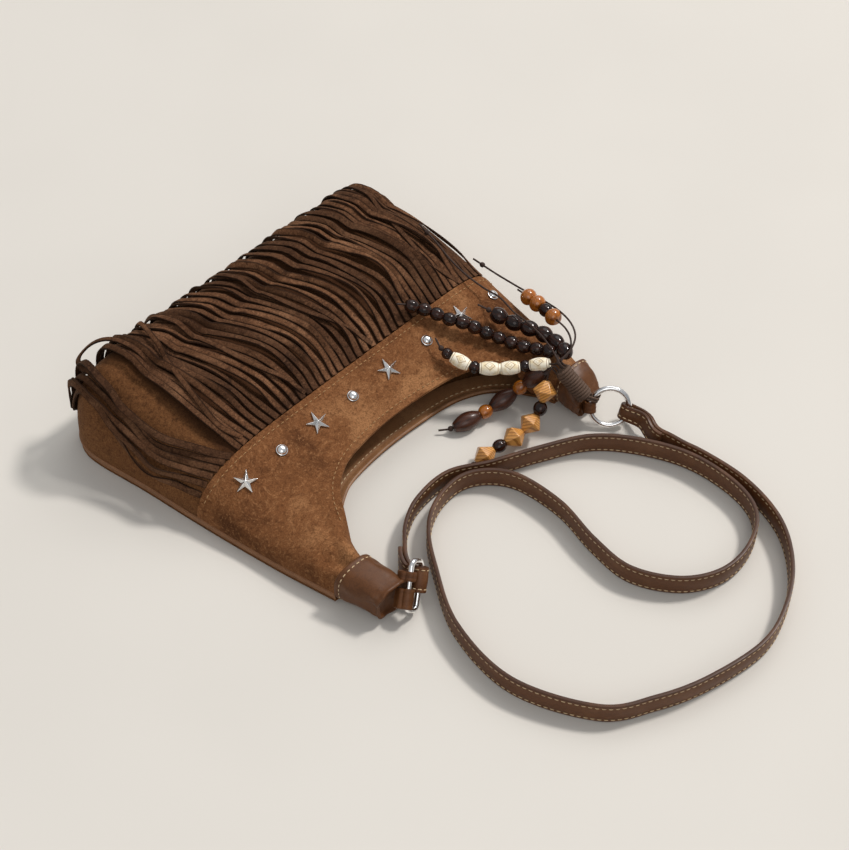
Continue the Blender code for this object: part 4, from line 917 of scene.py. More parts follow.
def back_panel(looks):
    """Back panel: flat where it lies, with the horns lifting a little."""
    rows = list(np.linspace(BOTTOM_Y, SEAM_Y, 30))
    shares = list(np.linspace(-1, 1, 49))
    low = [(s * half_width(y), y) for y in rows for s in shares]
    faces = grid_faces(len(rows), len(shares))
    edge = [(half_width(y), y) for y in np.linspace(HORN_END_Y, SEAM_Y, 24)]
    edge += [(-s * half_width(SEAM_Y), SEAM_Y) for s in shares[1:-1]]
    edge += [(-x, y) for x, y in reversed(edge[:24])]
    rim = rim_line(len(edge) - 1)
    start = len(low)
    points = low + [(mixed(rx, ex, t), mixed(ry, ey, t)) for t in np.linspace(0, 1, 8)
                    for (rx, ry), (ex, ey) in zip(rim, edge)]
    faces += grid_faces(8, len(edge), start=start)
    outer = [lean(x, y, PANEL_THICKNESS + lift(x, y)) for x, y in points]
    return skin("back_suede", outer, faces, PANEL_THICKNESS - 0.05 * MM, looks["panel_suede"],
                ["back_panel"])


def outline():
    """The bag's outer edge in the pattern, from the left horn round the bottom to the right."""
    ys = list(np.linspace(HORN_END_Y, CREST_Y, 60))
    ys += [CREST_Y - (CREST_Y - BOTTOM_Y) * math.sin(math.radians(90 * k / 16)) for k in range(1, 17)]
    left = [(half_width(y), y) for y in ys]
    bottom = [(s * half_width(BOTTOM_Y), BOTTOM_Y) for s in np.linspace(1, -1, 50)[1:-1]]
    return left + bottom + [(-x, y) for x, y in reversed(left)]


def side_strip(looks):
    """Low wall between back and front, with a raised piped edge along its top."""
    line = outline()
    low = PANEL_THICKNESS + GAP
    levels = [(low, 0.0), (low + 0.6 * MM, -0.5), (low + 1.6 * MM, -0.15),
              (mixed(low, EDGE_HEIGHT, 0.55), 0.0), (EDGE_HEIGHT - 1.6 * MM, -0.1),
              (EDGE_HEIGHT - 1.3 * MM, 0.35), (EDGE_HEIGHT - 0.7 * MM, 0.6),
              (EDGE_HEIGHT - 0.2 * MM, 0.2), (EDGE_HEIGHT, -0.3)]
    outer, inner = [], []
    for level, proud in levels:
        for k, (x, y) in enumerate(line):
            away = outward(line, k)
            for points, out in ((outer, proud * MM), (inner, -PANEL_THICKNESS)):
                points.append(lean(x + away.x * out, y + away.y * out, level + lift(x, y)))
    wide = len(line)
    count = len(outer)
    faces = [tuple(reversed(f)) for f in grid_faces(len(levels), wide)]
    faces += grid_faces(len(levels), wide, start=count)
    top = (len(levels) - 1) * wide
    for k in range(wide - 1):
        faces.append((top + k, top + k + 1, count + top + k + 1, count + top + k))
        faces.append((k + 1, k, count + k, count + k + 1))
    return make_piece("side_strip_leather", [*outer, *inner], faces, looks["side_leather_painted_light"], "bag",
                      ["gusset_strip"], 60)


def mouth_facing(looks):
    """Leather facing inside the back panel, rolled at the mouth's edge."""
    rim = rim_line(200)[20:-20]
    profile = [(-0.5, 0.0), (-0.9, 0.5), (-0.5, 1.15), (0.3, 1.35), (1.2, 1.2), (2.2, 1.0), (2.8, 0.8),
               (3.6, 1.0), (6, 1.1), (10, 1.05), (FACING_WIDTH / MM, 1.0), (FACING_WIDTH / MM, 0.0)]
    verts = []
    for k, (x, y) in enumerate(rim):
        away = outward(rim, k)
        for reach, height in profile:
            px, py = x + away.x * reach * MM, y + away.y * reach * MM
            wave = 0.25 * ripple(8, px * 40, py * 40) * min(1.0, height)
            verts.append(lean(px, py, PANEL_THICKNESS + GAP + (height + wave) * MM + lift(px, py)))
    faces = grid_faces(len(rim), len(profile), closed=True)
    end = (len(rim) - 1) * len(profile)
    faces += [tuple(reversed(range(len(profile)))), tuple(end + k for k in range(len(profile)))]
    return make_piece("mouth_facing_leather", verts, faces, looks["facing_leather_painted_light"], "bag",
                      ["mouth_facing"], 60)


# Stitches

def stitch_row(name, line, normals, thread, stitch, gap, radius=0.3 * MM):
    """A row of short thread stitches, half sunk into the surface along a line."""
    line = np.array([tuple(p) for p in line])
    along = np.concatenate([[0], np.cumsum(np.linalg.norm(np.diff(line, axis=0), axis=1))])
    normals = np.array([tuple(n) for n in normals])

    def at(values, s):
        return Vector([float(np.interp(s, along, values[:, k])) for k in range(3)])
    count = int(along[-1] / (stitch + gap))
    verts, faces = [], []
    shape = [(-0.5, 0.1, -0.35), (-0.36, 0.85, 0.0), (0.0, 1.0, 0.12), (0.36, 0.85, 0.0),
             (0.5, 0.1, -0.35)]
    for k in range(count):
        middle = (k + 0.5) * (along[-1] / count)
        up = at(normals, middle).normalized()
        run = (at(line, middle + stitch / 3) - at(line, middle - stitch / 3)).normalized()
        side = run.cross(up).normalized()
        start = len(verts)
        for share, wide, rise in shape:
            centre = at(line, middle + share * stitch) + up * rise * radius
            for j in range(5):
                angle = 2 * math.pi * j / 5
                verts.append(centre + (side * math.cos(angle) + up * math.sin(angle)) * radius * wide)
        faces += grid_faces(len(shape), 5, closed=True, start=start)
    return make_piece(name, verts, faces, thread, "bag", smooth_angle=60)


def surface_row(points, height, rise=0.0):
    """A line over the bag at pattern points, and the surface's normals there."""
    line, normals = [], []
    for x, y in points:
        nudge = 1.5 * MM
        here = lean(x, y, height(x, y))
        across = lean(x + nudge, y, height(x + nudge, y)) - lean(x - nudge, y, height(x - nudge, y))
        up_down = lean(x, y + nudge, height(x, y + nudge)) - lean(x, y - nudge, height(x, y - nudge))
        normal = across.cross(up_down).normalized()
        line.append(here + normal * rise)
        normals.append(normal)
    return line, normals


def body_stitches(looks):
    """Sewn rows along the yoke's seam, round the front of the mouth and on its facing."""
    def on_yoke(x, y):
        bump = 0.6 * MM * smoothstep(5 * MM, 1 * MM, y - SEAM_Y)
        return front_height(x, y) + lift(x, y) + wrinkle(x, y, YOKE_WRINKLE) * 0.5 + bump
    y = SEAM_Y + SEAM_STITCH_INSET
    seam = [(s * half_width(y), y) for s in np.linspace(0.975, -0.975, 260)]
    line, normals = surface_row(seam, on_yoke, 0.15 * MM)
    stitch_row("yoke_seam_stitches", line, normals, looks["brown_thread"], stitch=2.4 * MM, gap=1.3 * MM)

    rim = rim_line(300)

    def along_rim(inset):
        return [tuple(Vector(rim[k]) + outward(rim, k) * inset) for k in range(34, len(rim) - 34)]
    points = along_rim(RIM_STITCH_INSET)
    line, normals = surface_row(points, lambda x, y: yoke_height(x, y, RIM_STITCH_INSET), 0.2 * MM)
    stitch_row("front_rim_stitches", line, normals, looks["brown_thread"], stitch=2.2 * MM, gap=1.4 * MM)
    line = [lean(x, y, PANEL_THICKNESS + GAP + 1.12 * MM + lift(x, y))
            for x, y in along_rim(FACING_STITCH_INSET)]
    normals = [Vector((0, 0, 1))] * len(line)
    stitch_row("facing_stitches", line, normals, looks["thread"], stitch=2.4 * MM, gap=1.2 * MM)


# Fringe

def front_place(x, y, above):
    """A place over the front and the surface's normal there."""
    s = max(-0.968, min(0.985, x / half_width(y)))
    up = front_normal(s, y)
    x = s * half_width(y)
    return lean(x, y, front_height(x, y)) + up * above, up


def front_normal(s, y):
    """The front's normal at a share of the half width, kept off the very edge."""
    nudge = 0.8 * MM
    low = max(BOTTOM_Y + 0.05 * MM, y - nudge)

    def at(u, v):
        x = u * half_width(v)
        return lean(x, v, front_height(x, v))
    across = at(min(0.997, s + 0.006), y) - at(max(-0.997, s - 0.006), y)
    along = at(s, y + nudge) - at(s, low)
    return across.cross(along).normalized()


def guide_place(share, y):
    """Distance from the middle line of the strip that starts at this share, at this row."""
    marks = [g[0] for g in GUIDES]
    across = [float(np.interp(share, marks, [g[k + 1] for g in GUIDES])) for k in range(5)]
    fine = smooth_line(list(zip(GUIDE_ROWS, across)), 2)
    return float(np.interp(-y / MM, -fine[:, 0], fine[:, 1])) * MM


def strip_rows(number):
    """One strip from the seam over the crest and down the bottom, as (place, up, share along)."""
    share = (number + 0.5) / STRIP_COUNT
    left = smoothstep(0.3, 0.1, share)
    layer = (number * 7) % 4
    hang = 0.5 + 0.5 * math.sin(number * 3.9)
    over_front = 0.66
    steps = 60
    rows = []
    for k in range(steps + 1):
        t = k / steps
        if t < over_front:
            y = SEAM_Y - GAP + (CREST_Y - SEAM_Y + GAP) * (t / over_front)
        else:
            angle = (t - over_front) / (1 - over_front) * math.radians(80 + 8 * hang)
            y = CREST_Y - (CREST_Y - BOTTOM_Y) * math.sin(angle) ** (2 / 3)
        loose = smoothstep(0.02, 0.22, t)
        x = guide_place(share, y)
        sway = 2.1 * ripple(13, number * 0.55, t * 2.6) + 1.0 * ripple(18, number * 1.7, t * 5)
        x += loose * MM * sway
        at_crest = math.exp(-((y - CREST_Y + 9 * MM) / (15 * MM)) ** 2)
        pile = (0.25 + 0.95 * layer + 0.9 * ripple(15, number * 0.7, t * 4.2)) * (1 - 0.85 * at_crest)
        pile *= 1 - 0.5 * smoothstep(0.9, 1.0, share)
        pile += left * (1.6 + 1.6 * layer * at_crest)
        pile *= 1 - 0.4 * smoothstep(0.8, 1.0, t)
        place, up = front_place(x, y, GAP + max(0.0, pile) * MM * loose)
        rows.append((place, up, t))
    return rows


def add_strip(verts, faces, tones_and_shade, rows, number, width, free=1.0):
    """A cut ribbon with curled edges along rows of (place, up, share along)."""
    start = len(verts)
    section = ((-1, 0.1), (-0.9, 1.0), (-0.4, 1.0), (0.4, 1.0), (0.9, 1.0), (1, 0.1), (0.4, 0), (-0.4, 0))
    places = [place for place, _, _ in rows]
    for k, (place, up, t) in enumerate(rows):
        run = run_at(places, k)
        side = up.cross(run).normalized()
        twist = free * 1.5 * ripple(16, number * 1.3, t * 3.2) * smoothstep(0.02, 0.16, t)
        side = (side * math.cos(twist) + up * math.sin(twist)).normalized()
        normal = run.cross(side).normalized()
        if normal.dot(up) < 0:
            normal = -normal
        centre = place + up * abs(math.sin(twist)) * width / 2
        half = width / 2 * (1 + 0.1 * ripple(19, number * 2.1, t * 6))
        # Painted shade on the strips at the left side, as if turned from the light, taken with each strip's
        # own random tone.
        painted_side_shade = 0.75 * smoothstep(60 * MM, 105 * MM, centre.x)
        dark = max(0.5 + 0.5 * math.sin(number * 5.3), painted_side_shade)
        for u, v in section:
            verts.append(centre + side * half * u + normal * (v * STRIP_THICKNESS - 0.35 * MM * u * u))
            tones_and_shade.append((dark, abs(u), t))
    faces += grid_faces(len(rows), 8, closed=True, start=start)
    end = start + (len(rows) - 1) * 8
    faces += [tuple(reversed(range(start, start + 8))), tuple(range(end, end + 8))]


def stray_rows(route):
    """A loose strip's rows along its own route over the front."""
    line = smooth_line(route, 1.6)
    rows = []
    for k, (x, y, above) in enumerate(line):
        place, up = front_place(x * MM, y * MM, above * MM)
        rows.append((place, up, k / (len(line) - 1)))
    return rows


def fringe(looks):
    """Every strip as a thin cut ribbon that rides over its neighbours, with a few loose ones."""
    verts, faces, tones_and_shade = [], [], []
    for number in range(STRIP_COUNT):
        width = STRIP_WIDTH * (1 + 0.08 * math.sin(number * 2.9))
        add_strip(verts, faces, tones_and_shade, strip_rows(number), number, width)
    for number, route in enumerate(STRAYS):
        add_strip(verts, faces, tones_and_shade, stray_rows(route), 60 + number, STRIP_WIDTH * 0.8, 0.7)
    piece = make_piece("fringe_strips", verts, faces, looks["fringe_suede"], "bag", ["fringe"],
                       50, {"strip_tone_and_shade": tones_and_shade})
    lengths = [line_length([place for place, _, _ in strip_rows(number)]) for number in range(STRIP_COUNT)]
    loose = [line_length([place for place, _, _ in stray_rows(route)]) for route in STRAYS]
    return piece


# Studs

def surface_at(x, y):
    """The turn and place of something that sits flat on the front."""
    nudge = 3 * MM

    def at(u, v):
        return lean(u, v, front_height(u, v))
    up = (at(x + nudge, y) - at(x - nudge, y)).cross(at(x, y + nudge) - at(x, y - nudge)).normalized()
    turn = up.to_track_quat("Z", "Y").to_matrix().to_4x4()
    return Matrix.Translation(at(x, y) + up * (GAP + 0.25 * MM)) @ turn


def star_stud(number, x, looks):
    """Five-pointed star with sharp ridges, a hollow between them and a small rim."""
    verts, faces = [(0, 0, 2.6 * MM)], []
    for reach, height in ((1.0, 0.55), (1.03, 0.2), (1.0, -0.1)):
        for k in range(10):
            radius = (STAR_RADIUS if k % 2 == 0 else STAR_INNER_RADIUS) * reach
            angle = math.radians(36 * k + 8)
            verts.append((radius * math.sin(angle), radius * math.cos(angle), height * MM))
    for k in range(10):
        n = (k + 1) % 10
        faces.append((0, 1 + n, 1 + k))
        for ring in range(2):
            a, b = 1 + 10 * ring, 11 + 10 * ring
            faces.append((a + k, a + n, b + n, b + k))
    faces.append(tuple(21 + k for k in range(10)))
    place = surface_at(x, STUD_Y)
    piece = make_piece(f"star_{number}", [place @ Vector(v) for v in verts], faces, looks["star_steel"],
                       "bag", [f"star_stud_{number}"], 12)
    soften_edges(piece, 0.12 * MM, 2, 20)


def turned_verts(profile, sides, place):
    """Vertices and faces of a shape turned about its own upright, from (radius, height) points."""
    verts = []
    for radius, height in profile:
        for k in range(sides):
            angle = 2 * math.pi * k / sides
            verts.append(place @ Vector((radius * math.cos(angle), radius * math.sin(angle), height)))
    return verts, grid_faces(len(profile), sides, closed=True)


def dome_stud(number, x, looks):
    """Round stud on a small flat rim."""
    profile = [(0.01, -0.1), (3.4, -0.1), (3.5, 0.1), (3.5, 0.3), (3.3, 0.45), (3.1, 0.5), (3.0, 0.8)]
    profile += [(3.0 * math.cos(a), 0.7 + 2.0 * math.sin(a)) for a in np.linspace(0.12, 1.55, 10)]
    place = surface_at(x, STUD_Y)
    verts, faces = turned_verts([(r * MM, h * MM) for r, h in profile], 32, place)
    make_piece(f"dome_{number}", verts, faces, looks["steel"], "bag",
               [f"dome_stud_{number}"], 35)


def studs(looks):
    """Stars and domes in turn, evenly spaced along the yoke."""
    for k in range(STUD_COUNT):
        x = FIRST_STUD_X - k * STUD_PITCH
        (star_stud if k % 2 == 0 else dome_stud)(k // 2 + 1, x, looks)


# Horn caps

def horn_cap(name, side, length, end_drop, widths, looks):
    """Soft leather sleeve: a turned, stitched edge, creases, and an end lip that turns inward."""
    rise = LEFT_HORN_LIFT if side > 0 else RIGHT_HORN_LIFT
    inner_x, outer_x = RIM_HALF[-1][0] * MM, half_width(HORN_END_Y)
    middle = (inner_x + outer_x) / 2
    half_a = (outer_x - inner_x) / 2 + 0.8 * MM
    half_b = HORN_HEIGHT / 2 + 0.6 * MM
    marks = [0.0, 0.2, 0.5, 0.75, 0.92, 1.0]
    alongs = list(np.linspace(0, 1, 46)) + [1.012, 1.005, 0.96, 0.9]
    shrink = [1.0] * 46 + [0.955, 0.9, 0.84, 0.78]
    sides = CAP_SIDES
    verts, edge_line, edge_normals = [], [], []
    for i, (along, small) in enumerate(zip(alongs, shrink)):
        wide = float(np.interp(along, marks, widths))
        pleat = smoothstep(0.55, 1.0, along)
        drop = 1 - end_drop * min(1.0, along)**2
        centre_x = side * (middle - CAP_INWARD * along)
        centre_z = half_b * drop + rise
        for k in range(sides):
            angle = 2 * math.pi * k / sides
            c, s = math.cos(angle), math.sin(angle)
            rim_wave = 1.6 * MM * ripple(24, c * 1.3 + side * 3, s * 1.3) * pleat
            y = HORN_END_Y + GAP + along * length + rim_wave
            fold = 1 - 0.05 * pleat * (1 + math.cos(6 * angle + 1.0 + 2 * ripple(21, angle))) / 2
            turned_edge = 0.5 * MM * smoothstep(0.1, 0.06, along) - 0.7 * MM * smoothstep(0.02, 0.0, along)
            lip = 0.5 * MM * math.exp(-((along - 0.97) / 0.03) ** 2)
            dent = 1.5 * MM * ripple(22, c * 1.7, s * 1.7 + side * 5, along * 2.6)
            dent += 0.8 * MM * ripple(23, c * 3.5, s * 3.5, along * 9) * pleat
            dent *= smoothstep(0.1, 0.35, along)
            a = (half_a * wide * fold + turned_edge + dent + lip) * small
            b = (half_b * mixed(1, wide, 0.5) * drop * fold + turned_edge * 0.5 + dent * 0.4 + lip) * small
            cx = math.copysign(abs(c) ** 0.72, c)
            cz = math.copysign(abs(s) ** 0.72, s)
            z = max(0.35 * MM + rise * 0.4, centre_z + cz * b)
            verts.append(lean(centre_x + cx * a, y, z))
            if i == 5:
                edge_line.append(verts[-1])
                edge_normals.append(Vector((c, 0, s)))
    rows = len(alongs)
    faces = [tuple(reversed(f)) for f in grid_faces(rows, sides, closed=True)]
    last = (rows - 1) * sides
    verts.append(lean(side * (middle - 3 * MM), HORN_END_Y + length * 0.88, half_b * (1 - end_drop) + rise))
    faces += [(last + (k + 1) % sides, last + k, len(verts) - 1) for k in range(sides)]
    make_piece(f"{name}_leather", verts, faces, looks["leather"], "bag", [name], 60)
    edge_line.append(edge_line[0])
    edge_normals.append(edge_normals[0])
    stitch_row(f"{name}_stitches", edge_line, edge_normals, looks["thread"], stitch=2.3 * MM, gap=1.2 * MM)


# Rings and tabs

def wire_ring(name, path, normals, radius, looks, body, node):
    """A closed wire of round section along a closed path."""
    count, sides = len(path), 20
    verts = []
    for k in range(count):
        run = (path[(k + 1) % count] - path[k - 1]).normalized()
        side = run.cross(normals).normalized()
        for j in range(sides):
            angle = 2 * math.pi * j / sides
            verts.append(path[k] + side * radius * math.cos(angle) + normals * radius * math.sin(angle))
    faces = [tuple(reversed(f)) for f in grid_faces(count, sides, closed=True)]
    end = (count - 1) * sides
    for j in range(sides):
        m = (j + 1) % sides
        faces.append((end + m, end + j, j, m))
    return make_piece(name, verts, faces, looks["steel"], body, [node], 60)


def ring_axes():
    """Right, up the slope, and the axis of the tilted round ring."""
    right = Vector((math.cos(RING_TURN), math.sin(RING_TURN), 0))
    away = Vector((-math.sin(RING_TURN), math.cos(RING_TURN), 0))
    slope = away * math.cos(RING_TILT) + Vector((0, 0, 1)) * math.sin(RING_TILT)
    return right, slope, right.cross(slope)


def ring_place(angle_deg, radius):
    right, slope, _ = ring_axes()
    a = math.radians(angle_deg)
    return Vector(RING_CENTRE) + (right * math.cos(a) + slope * math.sin(a)) * radius


def loop_axes():
    """Along the long bars, across them, and the axis of the rectangular ring."""
    along = (Vector(LOOP_HEAD) - Vector(LOOP_FOOT)).normalized()
    across = Vector((0.76, 0.0, 0.64))
    across = (across - along * across.dot(along)).normalized()
    return along, across, along.cross(across)


def loop_place(along_by, across_by):
    along, across, _ = loop_axes()
    return Vector(LOOP_FOOT) + along * along_by + across * across_by


def rings(looks):
    """The round ring at the right horn and the rectangular one at the left."""
    path = [ring_place(360 * k / 96, RING_RADIUS) for k in range(96)]
    wire_ring("round_ring", path, ring_axes()[2], RING_WIRE, looks, "right_ring", "ring_right")
    long_side, short_side = LOOP_LENGTH - 2 * LOOP_WIRE, LOOP_WIDTH - 2 * LOOP_WIRE
    corners = [(LOOP_CORNER, LOOP_CORNER, 180), (LOOP_CORNER, short_side - LOOP_CORNER, 90),
               (long_side - LOOP_CORNER, short_side - LOOP_CORNER, 0),
               (long_side - LOOP_CORNER, LOOP_CORNER, -90)]
    path = []
    for u, v, start in corners:
        for step in range(90, -1, -10):
            angle = math.radians(start + step)
            path.append(loop_place(u + LOOP_CORNER * math.cos(angle), v + LOOP_CORNER * math.sin(angle)))
    wire_ring("rectangular_ring", path, loop_axes()[2], LOOP_WIRE, looks, "bag", "loop_left")


def ribbon_verts(path, wides, widths, thickness, lip=0.35 * MM):
    """Rows of a flat leather band's rounded section: two faces with raised edges."""
    verts = []
    for k, (point, wide) in enumerate(zip(path, wides)):
        side = wide.cross(run_at(path, k)).normalized()
        half, t = widths[k] / 2, thickness / 2
        groove = half - STRAP_STITCH_INSET
        section = [(-half, 0.0), (-half + 0.25 * MM, t * 0.8), (-half + 0.8 * MM, t),
                   (-groove - 0.35 * MM, t), (-groove, t - lip), (-groove + 0.6 * MM, t - 0.1 * MM),
                   (0.0, t + 0.12 * MM), (groove - 0.6 * MM, t - 0.1 * MM), (groove, t - lip),
                   (groove + 0.35 * MM, t), (half - 0.8 * MM, t), (half - 0.25 * MM, t * 0.8), (half, 0.0)]
        section += [(v, -u) for v, u in reversed(section[1:-1])]
        for v, u in section:
            verts.append(point + side * u + wide * v)
    return verts, len(section)


def band(name, path, wides, widths, thickness, looks, body, nodes):
    """A leather band with painted edges."""
    verts, count = ribbon_verts(path, wides, widths, thickness)
    faces = grid_faces(len(path), count, closed=True)
    end = (len(path) - 1) * count
    faces += [tuple(reversed(range(count))), tuple(range(end, end + count))]
    piece = make_piece(name, verts, faces, looks["strap_leather"], body, nodes, 40)
    piece.data.materials.append(looks["edge_paint"])
    edge = {0, 1, 10, 11, 12, 13, 22, 23}
    for polygon in piece.data.polygons:
        columns = {v % count for v in polygon.vertices}
        if len(polygon.vertices) == 4 and columns <= edge:
            polygon.material_index = 1
    return piece


def folded_tab(name, centre, wide, leg, reach, bands, wire, looks):
    """Leather folded round a wire in bands of (place along the wire, width), pressed behind it."""
    leg = (leg - wide * leg.dot(wide)).normalized()
    side = wide.cross(leg).normalized()
    fold = wire + TAB_CLEARANCE + 0.7 * MM
    pressed, opens = 0.9 * MM, 3.4 * MM
    path = []
    for k in range(9):
        out = mixed(pressed, fold * 0.9, smoothstep(0, 8, k))
        path.append(centre + leg * mixed(reach, opens, k / 8) + side * out)
    for k in range(17):
        angle = math.radians(55 + (250 * k) / 16)
        path.append(centre + (leg * math.cos(angle) + side * math.sin(angle)) * fold)
    for k in range(9):
        out = mixed(fold * 0.9, pressed, smoothstep(0, 8, k))
        path.append(centre + leg * mixed(opens, reach, k / 8) - side * out)
    path = [Vector(p) for p in smooth_line([tuple(p) for p in path], 0.5 * MM)]
    verts, faces = [], []
    for shift, width in bands:
        moved = [p + wide * shift for p in path]
        more, count = ribbon_verts(moved, [wide] * len(path), [width] * len(path), 1.4 * MM, 0.1 * MM)
        start, end = len(verts), len(verts) + (len(path) - 1) * count
        faces += grid_faces(len(path), count, closed=True, start=start)
        faces += [tuple(reversed(range(start, start + count))), tuple(range(end, end + count))]
        verts += more
    return make_piece(f"{name}_leather", verts, faces, looks["leather"], "bag", [name], 50)


def cap_end(side, length):
    """The middle of a cap, this far past the horn's end."""
    middle = (RIM_HALF[-1][0] * MM + half_width(HORN_END_Y)) / 2 - CAP_INWARD
    return lean(side * middle, HORN_END_Y + length, HORN_HEIGHT / 2)


def tabs(looks):
    """The folded leather that holds each ring to its cap; the left one is slit into two bands."""
    along, _, _ = loop_axes()
    centre = loop_place(LOOP_LENGTH / 2 - LOOP_WIRE, LOOP_WIDTH - 2 * LOOP_WIRE)
    leg = cap_end(1, LEFT_CAP_LENGTH) - centre
    leg -= along * leg.dot(along)
    folded_tab("tab_left", centre, along, leg, leg.length - 1.0 * MM,
               [(-7.5 * MM, 11.5 * MM), (5.2 * MM, 5.4 * MM)], LOOP_WIRE, looks)
    _, slope, _ = ring_axes()
    centre = ring_place(180, RING_RADIUS)
    leg = cap_end(-1, RIGHT_TAB_STARTS) - centre
    leg -= slope * leg.dot(slope)
    folded_tab("tab_right", centre, -slope, leg, leg.length, [(0.0, 7 * MM)], RING_WIRE, looks)


# Strap

def layer_offset(along, fold_radius):
    """How far a layer lies from the strap's middle line, this far from its fold."""
    pressed = STRAP_THICKNESS / 2 + GAP / 2
    wide = fold_radius + (pressed - fold_radius) * smoothstep(0, 12 * MM, along)
    return wide * (1 - smoothstep(STRAP_TAIL, STRAP_TAIL + 16 * MM, along))


def strap_line():
    """Middle line of the strap and its width direction, with both folded ends."""
    right, slope, _ = ring_axes()
    a = math.radians(STRAP_AT_RING)
    first = ring_place(STRAP_AT_RING, RING_RADIUS)
    first_wide = slope * math.cos(a) - right * math.sin(a)
    last = loop_place(STRAP_ON_LOOP, 0)
    last_wide = loop_axes()[0]
    route = [(x * MM, y * MM, STRAP_MIDDLE_HEIGHT) for x, y in STRAP_ROUTE]
    away = Vector(route[0]) - first
    away = (away - first_wide * away.dot(first_wide)).normalized()
    back = Vector(route[-1]) - last
    back = (back - last_wide * back.dot(last_wide)).normalized()
    route = [tuple(first), tuple(first + away * STRAP_GUIDE), *route,
             tuple(last + back * STRAP_GUIDE), tuple(last)]
    line = [Vector(p) for p in smooth_line(route, 2 * MM)]
    step = (line[1] - line[0]).length
    total = step * (len(line) - 1)
    frames = []
    for k, point in enumerate(line):
        run = run_at(line, k)
        if k == 0:
            run = away
        if k == len(line) - 1:
            run = -back
        here = k * step
        wide = first_wide.lerp(Vector((0, 0, 1)), smoothstep(0, STRAP_TWIST, here))
        wide = wide.lerp(last_wide, smoothstep(total - STRAP_TWIST, total, here))
        wide = (wide - run * wide.dot(run)).normalized()
        frames.append((point, run, wide, here))
    return frames, total


def fold(frame, outward, radius):
    """The turn of a folded end round its wire, from one layer to the other."""
    point, run, wide, here = frame
    side = wide.cross(run)
    turn = []
    for k in range(1, 16):
        angle = math.pi * k / 16
        turn.append((point - side * radius * math.cos(angle) + run * outward * radius * math.sin(angle),
                     wide, here))
    return turn


def strap(looks):
    """The shoulder strap, folded round both rings, with a stitched row near each edge."""
    frames, total = strap_line()
    squeezed = RING_RADIUS - math.sqrt(RING_RADIUS**2 - (STRAP_WIDTH_AT_RING / 2) ** 2)
    ring_fold = RING_WIRE + squeezed + TAB_CLEARANCE + STRAP_THICKNESS / 2
    loop_fold = LOOP_WIRE + TAB_CLEARANCE + STRAP_THICKNESS / 2
    path = [(point - wide.cross(run) * layer_offset(here, ring_fold), wide, here)
            for point, run, wide, here in reversed(frames) if here <= STRAP_TAIL]
    path += fold(frames[0], -1, ring_fold)
    for point, run, wide, here in frames:
        shift = layer_offset(here, ring_fold) + layer_offset(total - here, loop_fold)
        path.append((point + wide.cross(run) * shift, wide, here))
    path += reversed(fold(frames[-1], 1, loop_fold))
    path += [(point - wide.cross(run) * layer_offset(total - here, loop_fold), wide, here)
             for point, run, wide, here in reversed(frames) if total - here <= STRAP_TAIL]
    line = [p for p, _, _ in path]
    wides = [w for _, w, _ in path]
    widths = [mixed(STRAP_WIDTH_AT_RING, STRAP_WIDTH, smoothstep(0, STRAP_NARROWS_OVER, here))
              for _, _, here in path]
    piece = band("shoulder_strap_leather", line, wides, widths, STRAP_THICKNESS, looks, "bag",
                 ["shoulder_strap"])
    for face in (-1, 1):
        for edge in (-1, 1):
            row, normals = [], []
            for k, (point, wide, _) in enumerate(path):
                side = wide.cross(run_at(line, k)).normalized() * face
                reach = widths[k] / 2 - STRAP_STITCH_INSET
                row.append(point + wide * edge * reach + side * (STRAP_THICKNESS / 2 - 0.12 * MM))
                normals.append(side)
            label = {(-1, -1): "inner_low", (-1, 1): "inner_high", (1, -1): "outer_low",
                     (1, 1): "outer_high"}[(face, edge)]
            stitch_row(f"strap_stitches_{label}", row, normals, looks["thread"], stitch=2.5 * MM,
                       gap=1.2 * MM, radius=0.33 * MM)


# Tassel

def wrap_axis():
    """Top of the tassel's wrapping and the direction that it runs in."""
    top = Vector(WRAP_TOP) * MM
    return top, (Vector(WRAP_FOOT_TOWARDS) * MM - top).normalized()


def tube_verts(line, radius, sides=10):
    """Vertices and faces of a round cord along a line, closed at both ends."""
    verts = []
    for point, (_, side, up) in zip(line, frames_along(line)):
        for j in range(sides):
            angle = 2 * math.pi * j / sides
            verts.append(Vector(point) + (side * math.cos(angle) + up * math.sin(angle)) * radius)
    faces = [tuple(reversed(f)) for f in grid_faces(len(line), sides, closed=True)]
    end = (len(line) - 1) * sides
    faces += [tuple(range(sides)), tuple(end + j for j in reversed(range(sides)))]
    return verts, faces


def wrapping(looks):
    """Cord wound tightly round the strands where they meet."""
    top, run = wrap_axis()
    turns, cord = 11, 1.02 * MM
    side = run.cross(Vector((0, 0, 1))).normalized()
    up = side.cross(run)
    line = []
    for k in range(turns * 28 + 1):
        angle = 2 * math.pi * k / 28
        along = cord + (WRAP_LENGTH - 2 * cord) * k / (turns * 28)
        wobble = 0.15 * MM * ripple(31, k * 0.11)
        radius = 4.4 * MM + wobble
        line.append(top + run * along + (side * math.cos(angle) + up * math.sin(angle)) * radius)
    verts, faces = tube_verts(line, cord)
    core = []
    for along in (0.4 * MM, WRAP_LENGTH - 0.4 * MM):
        for k in range(24):
            angle = 2 * math.pi * k / 24
            core.append(top + run * along + (side * math.cos(angle) + up * math.sin(angle)) * 4.5 * MM)
    base = len(verts)
    core_faces = grid_faces(2, 24, closed=True, start=base)
    core_faces += [tuple(base + k for k in reversed(range(24))), tuple(base + 24 + k for k in range(24))]
    return make_piece("cord_wrapping_wound", [*verts, *core], [*faces, *core_faces],
                      looks["wrap_cord"], "bag", ["cord_wrapping"], 60)


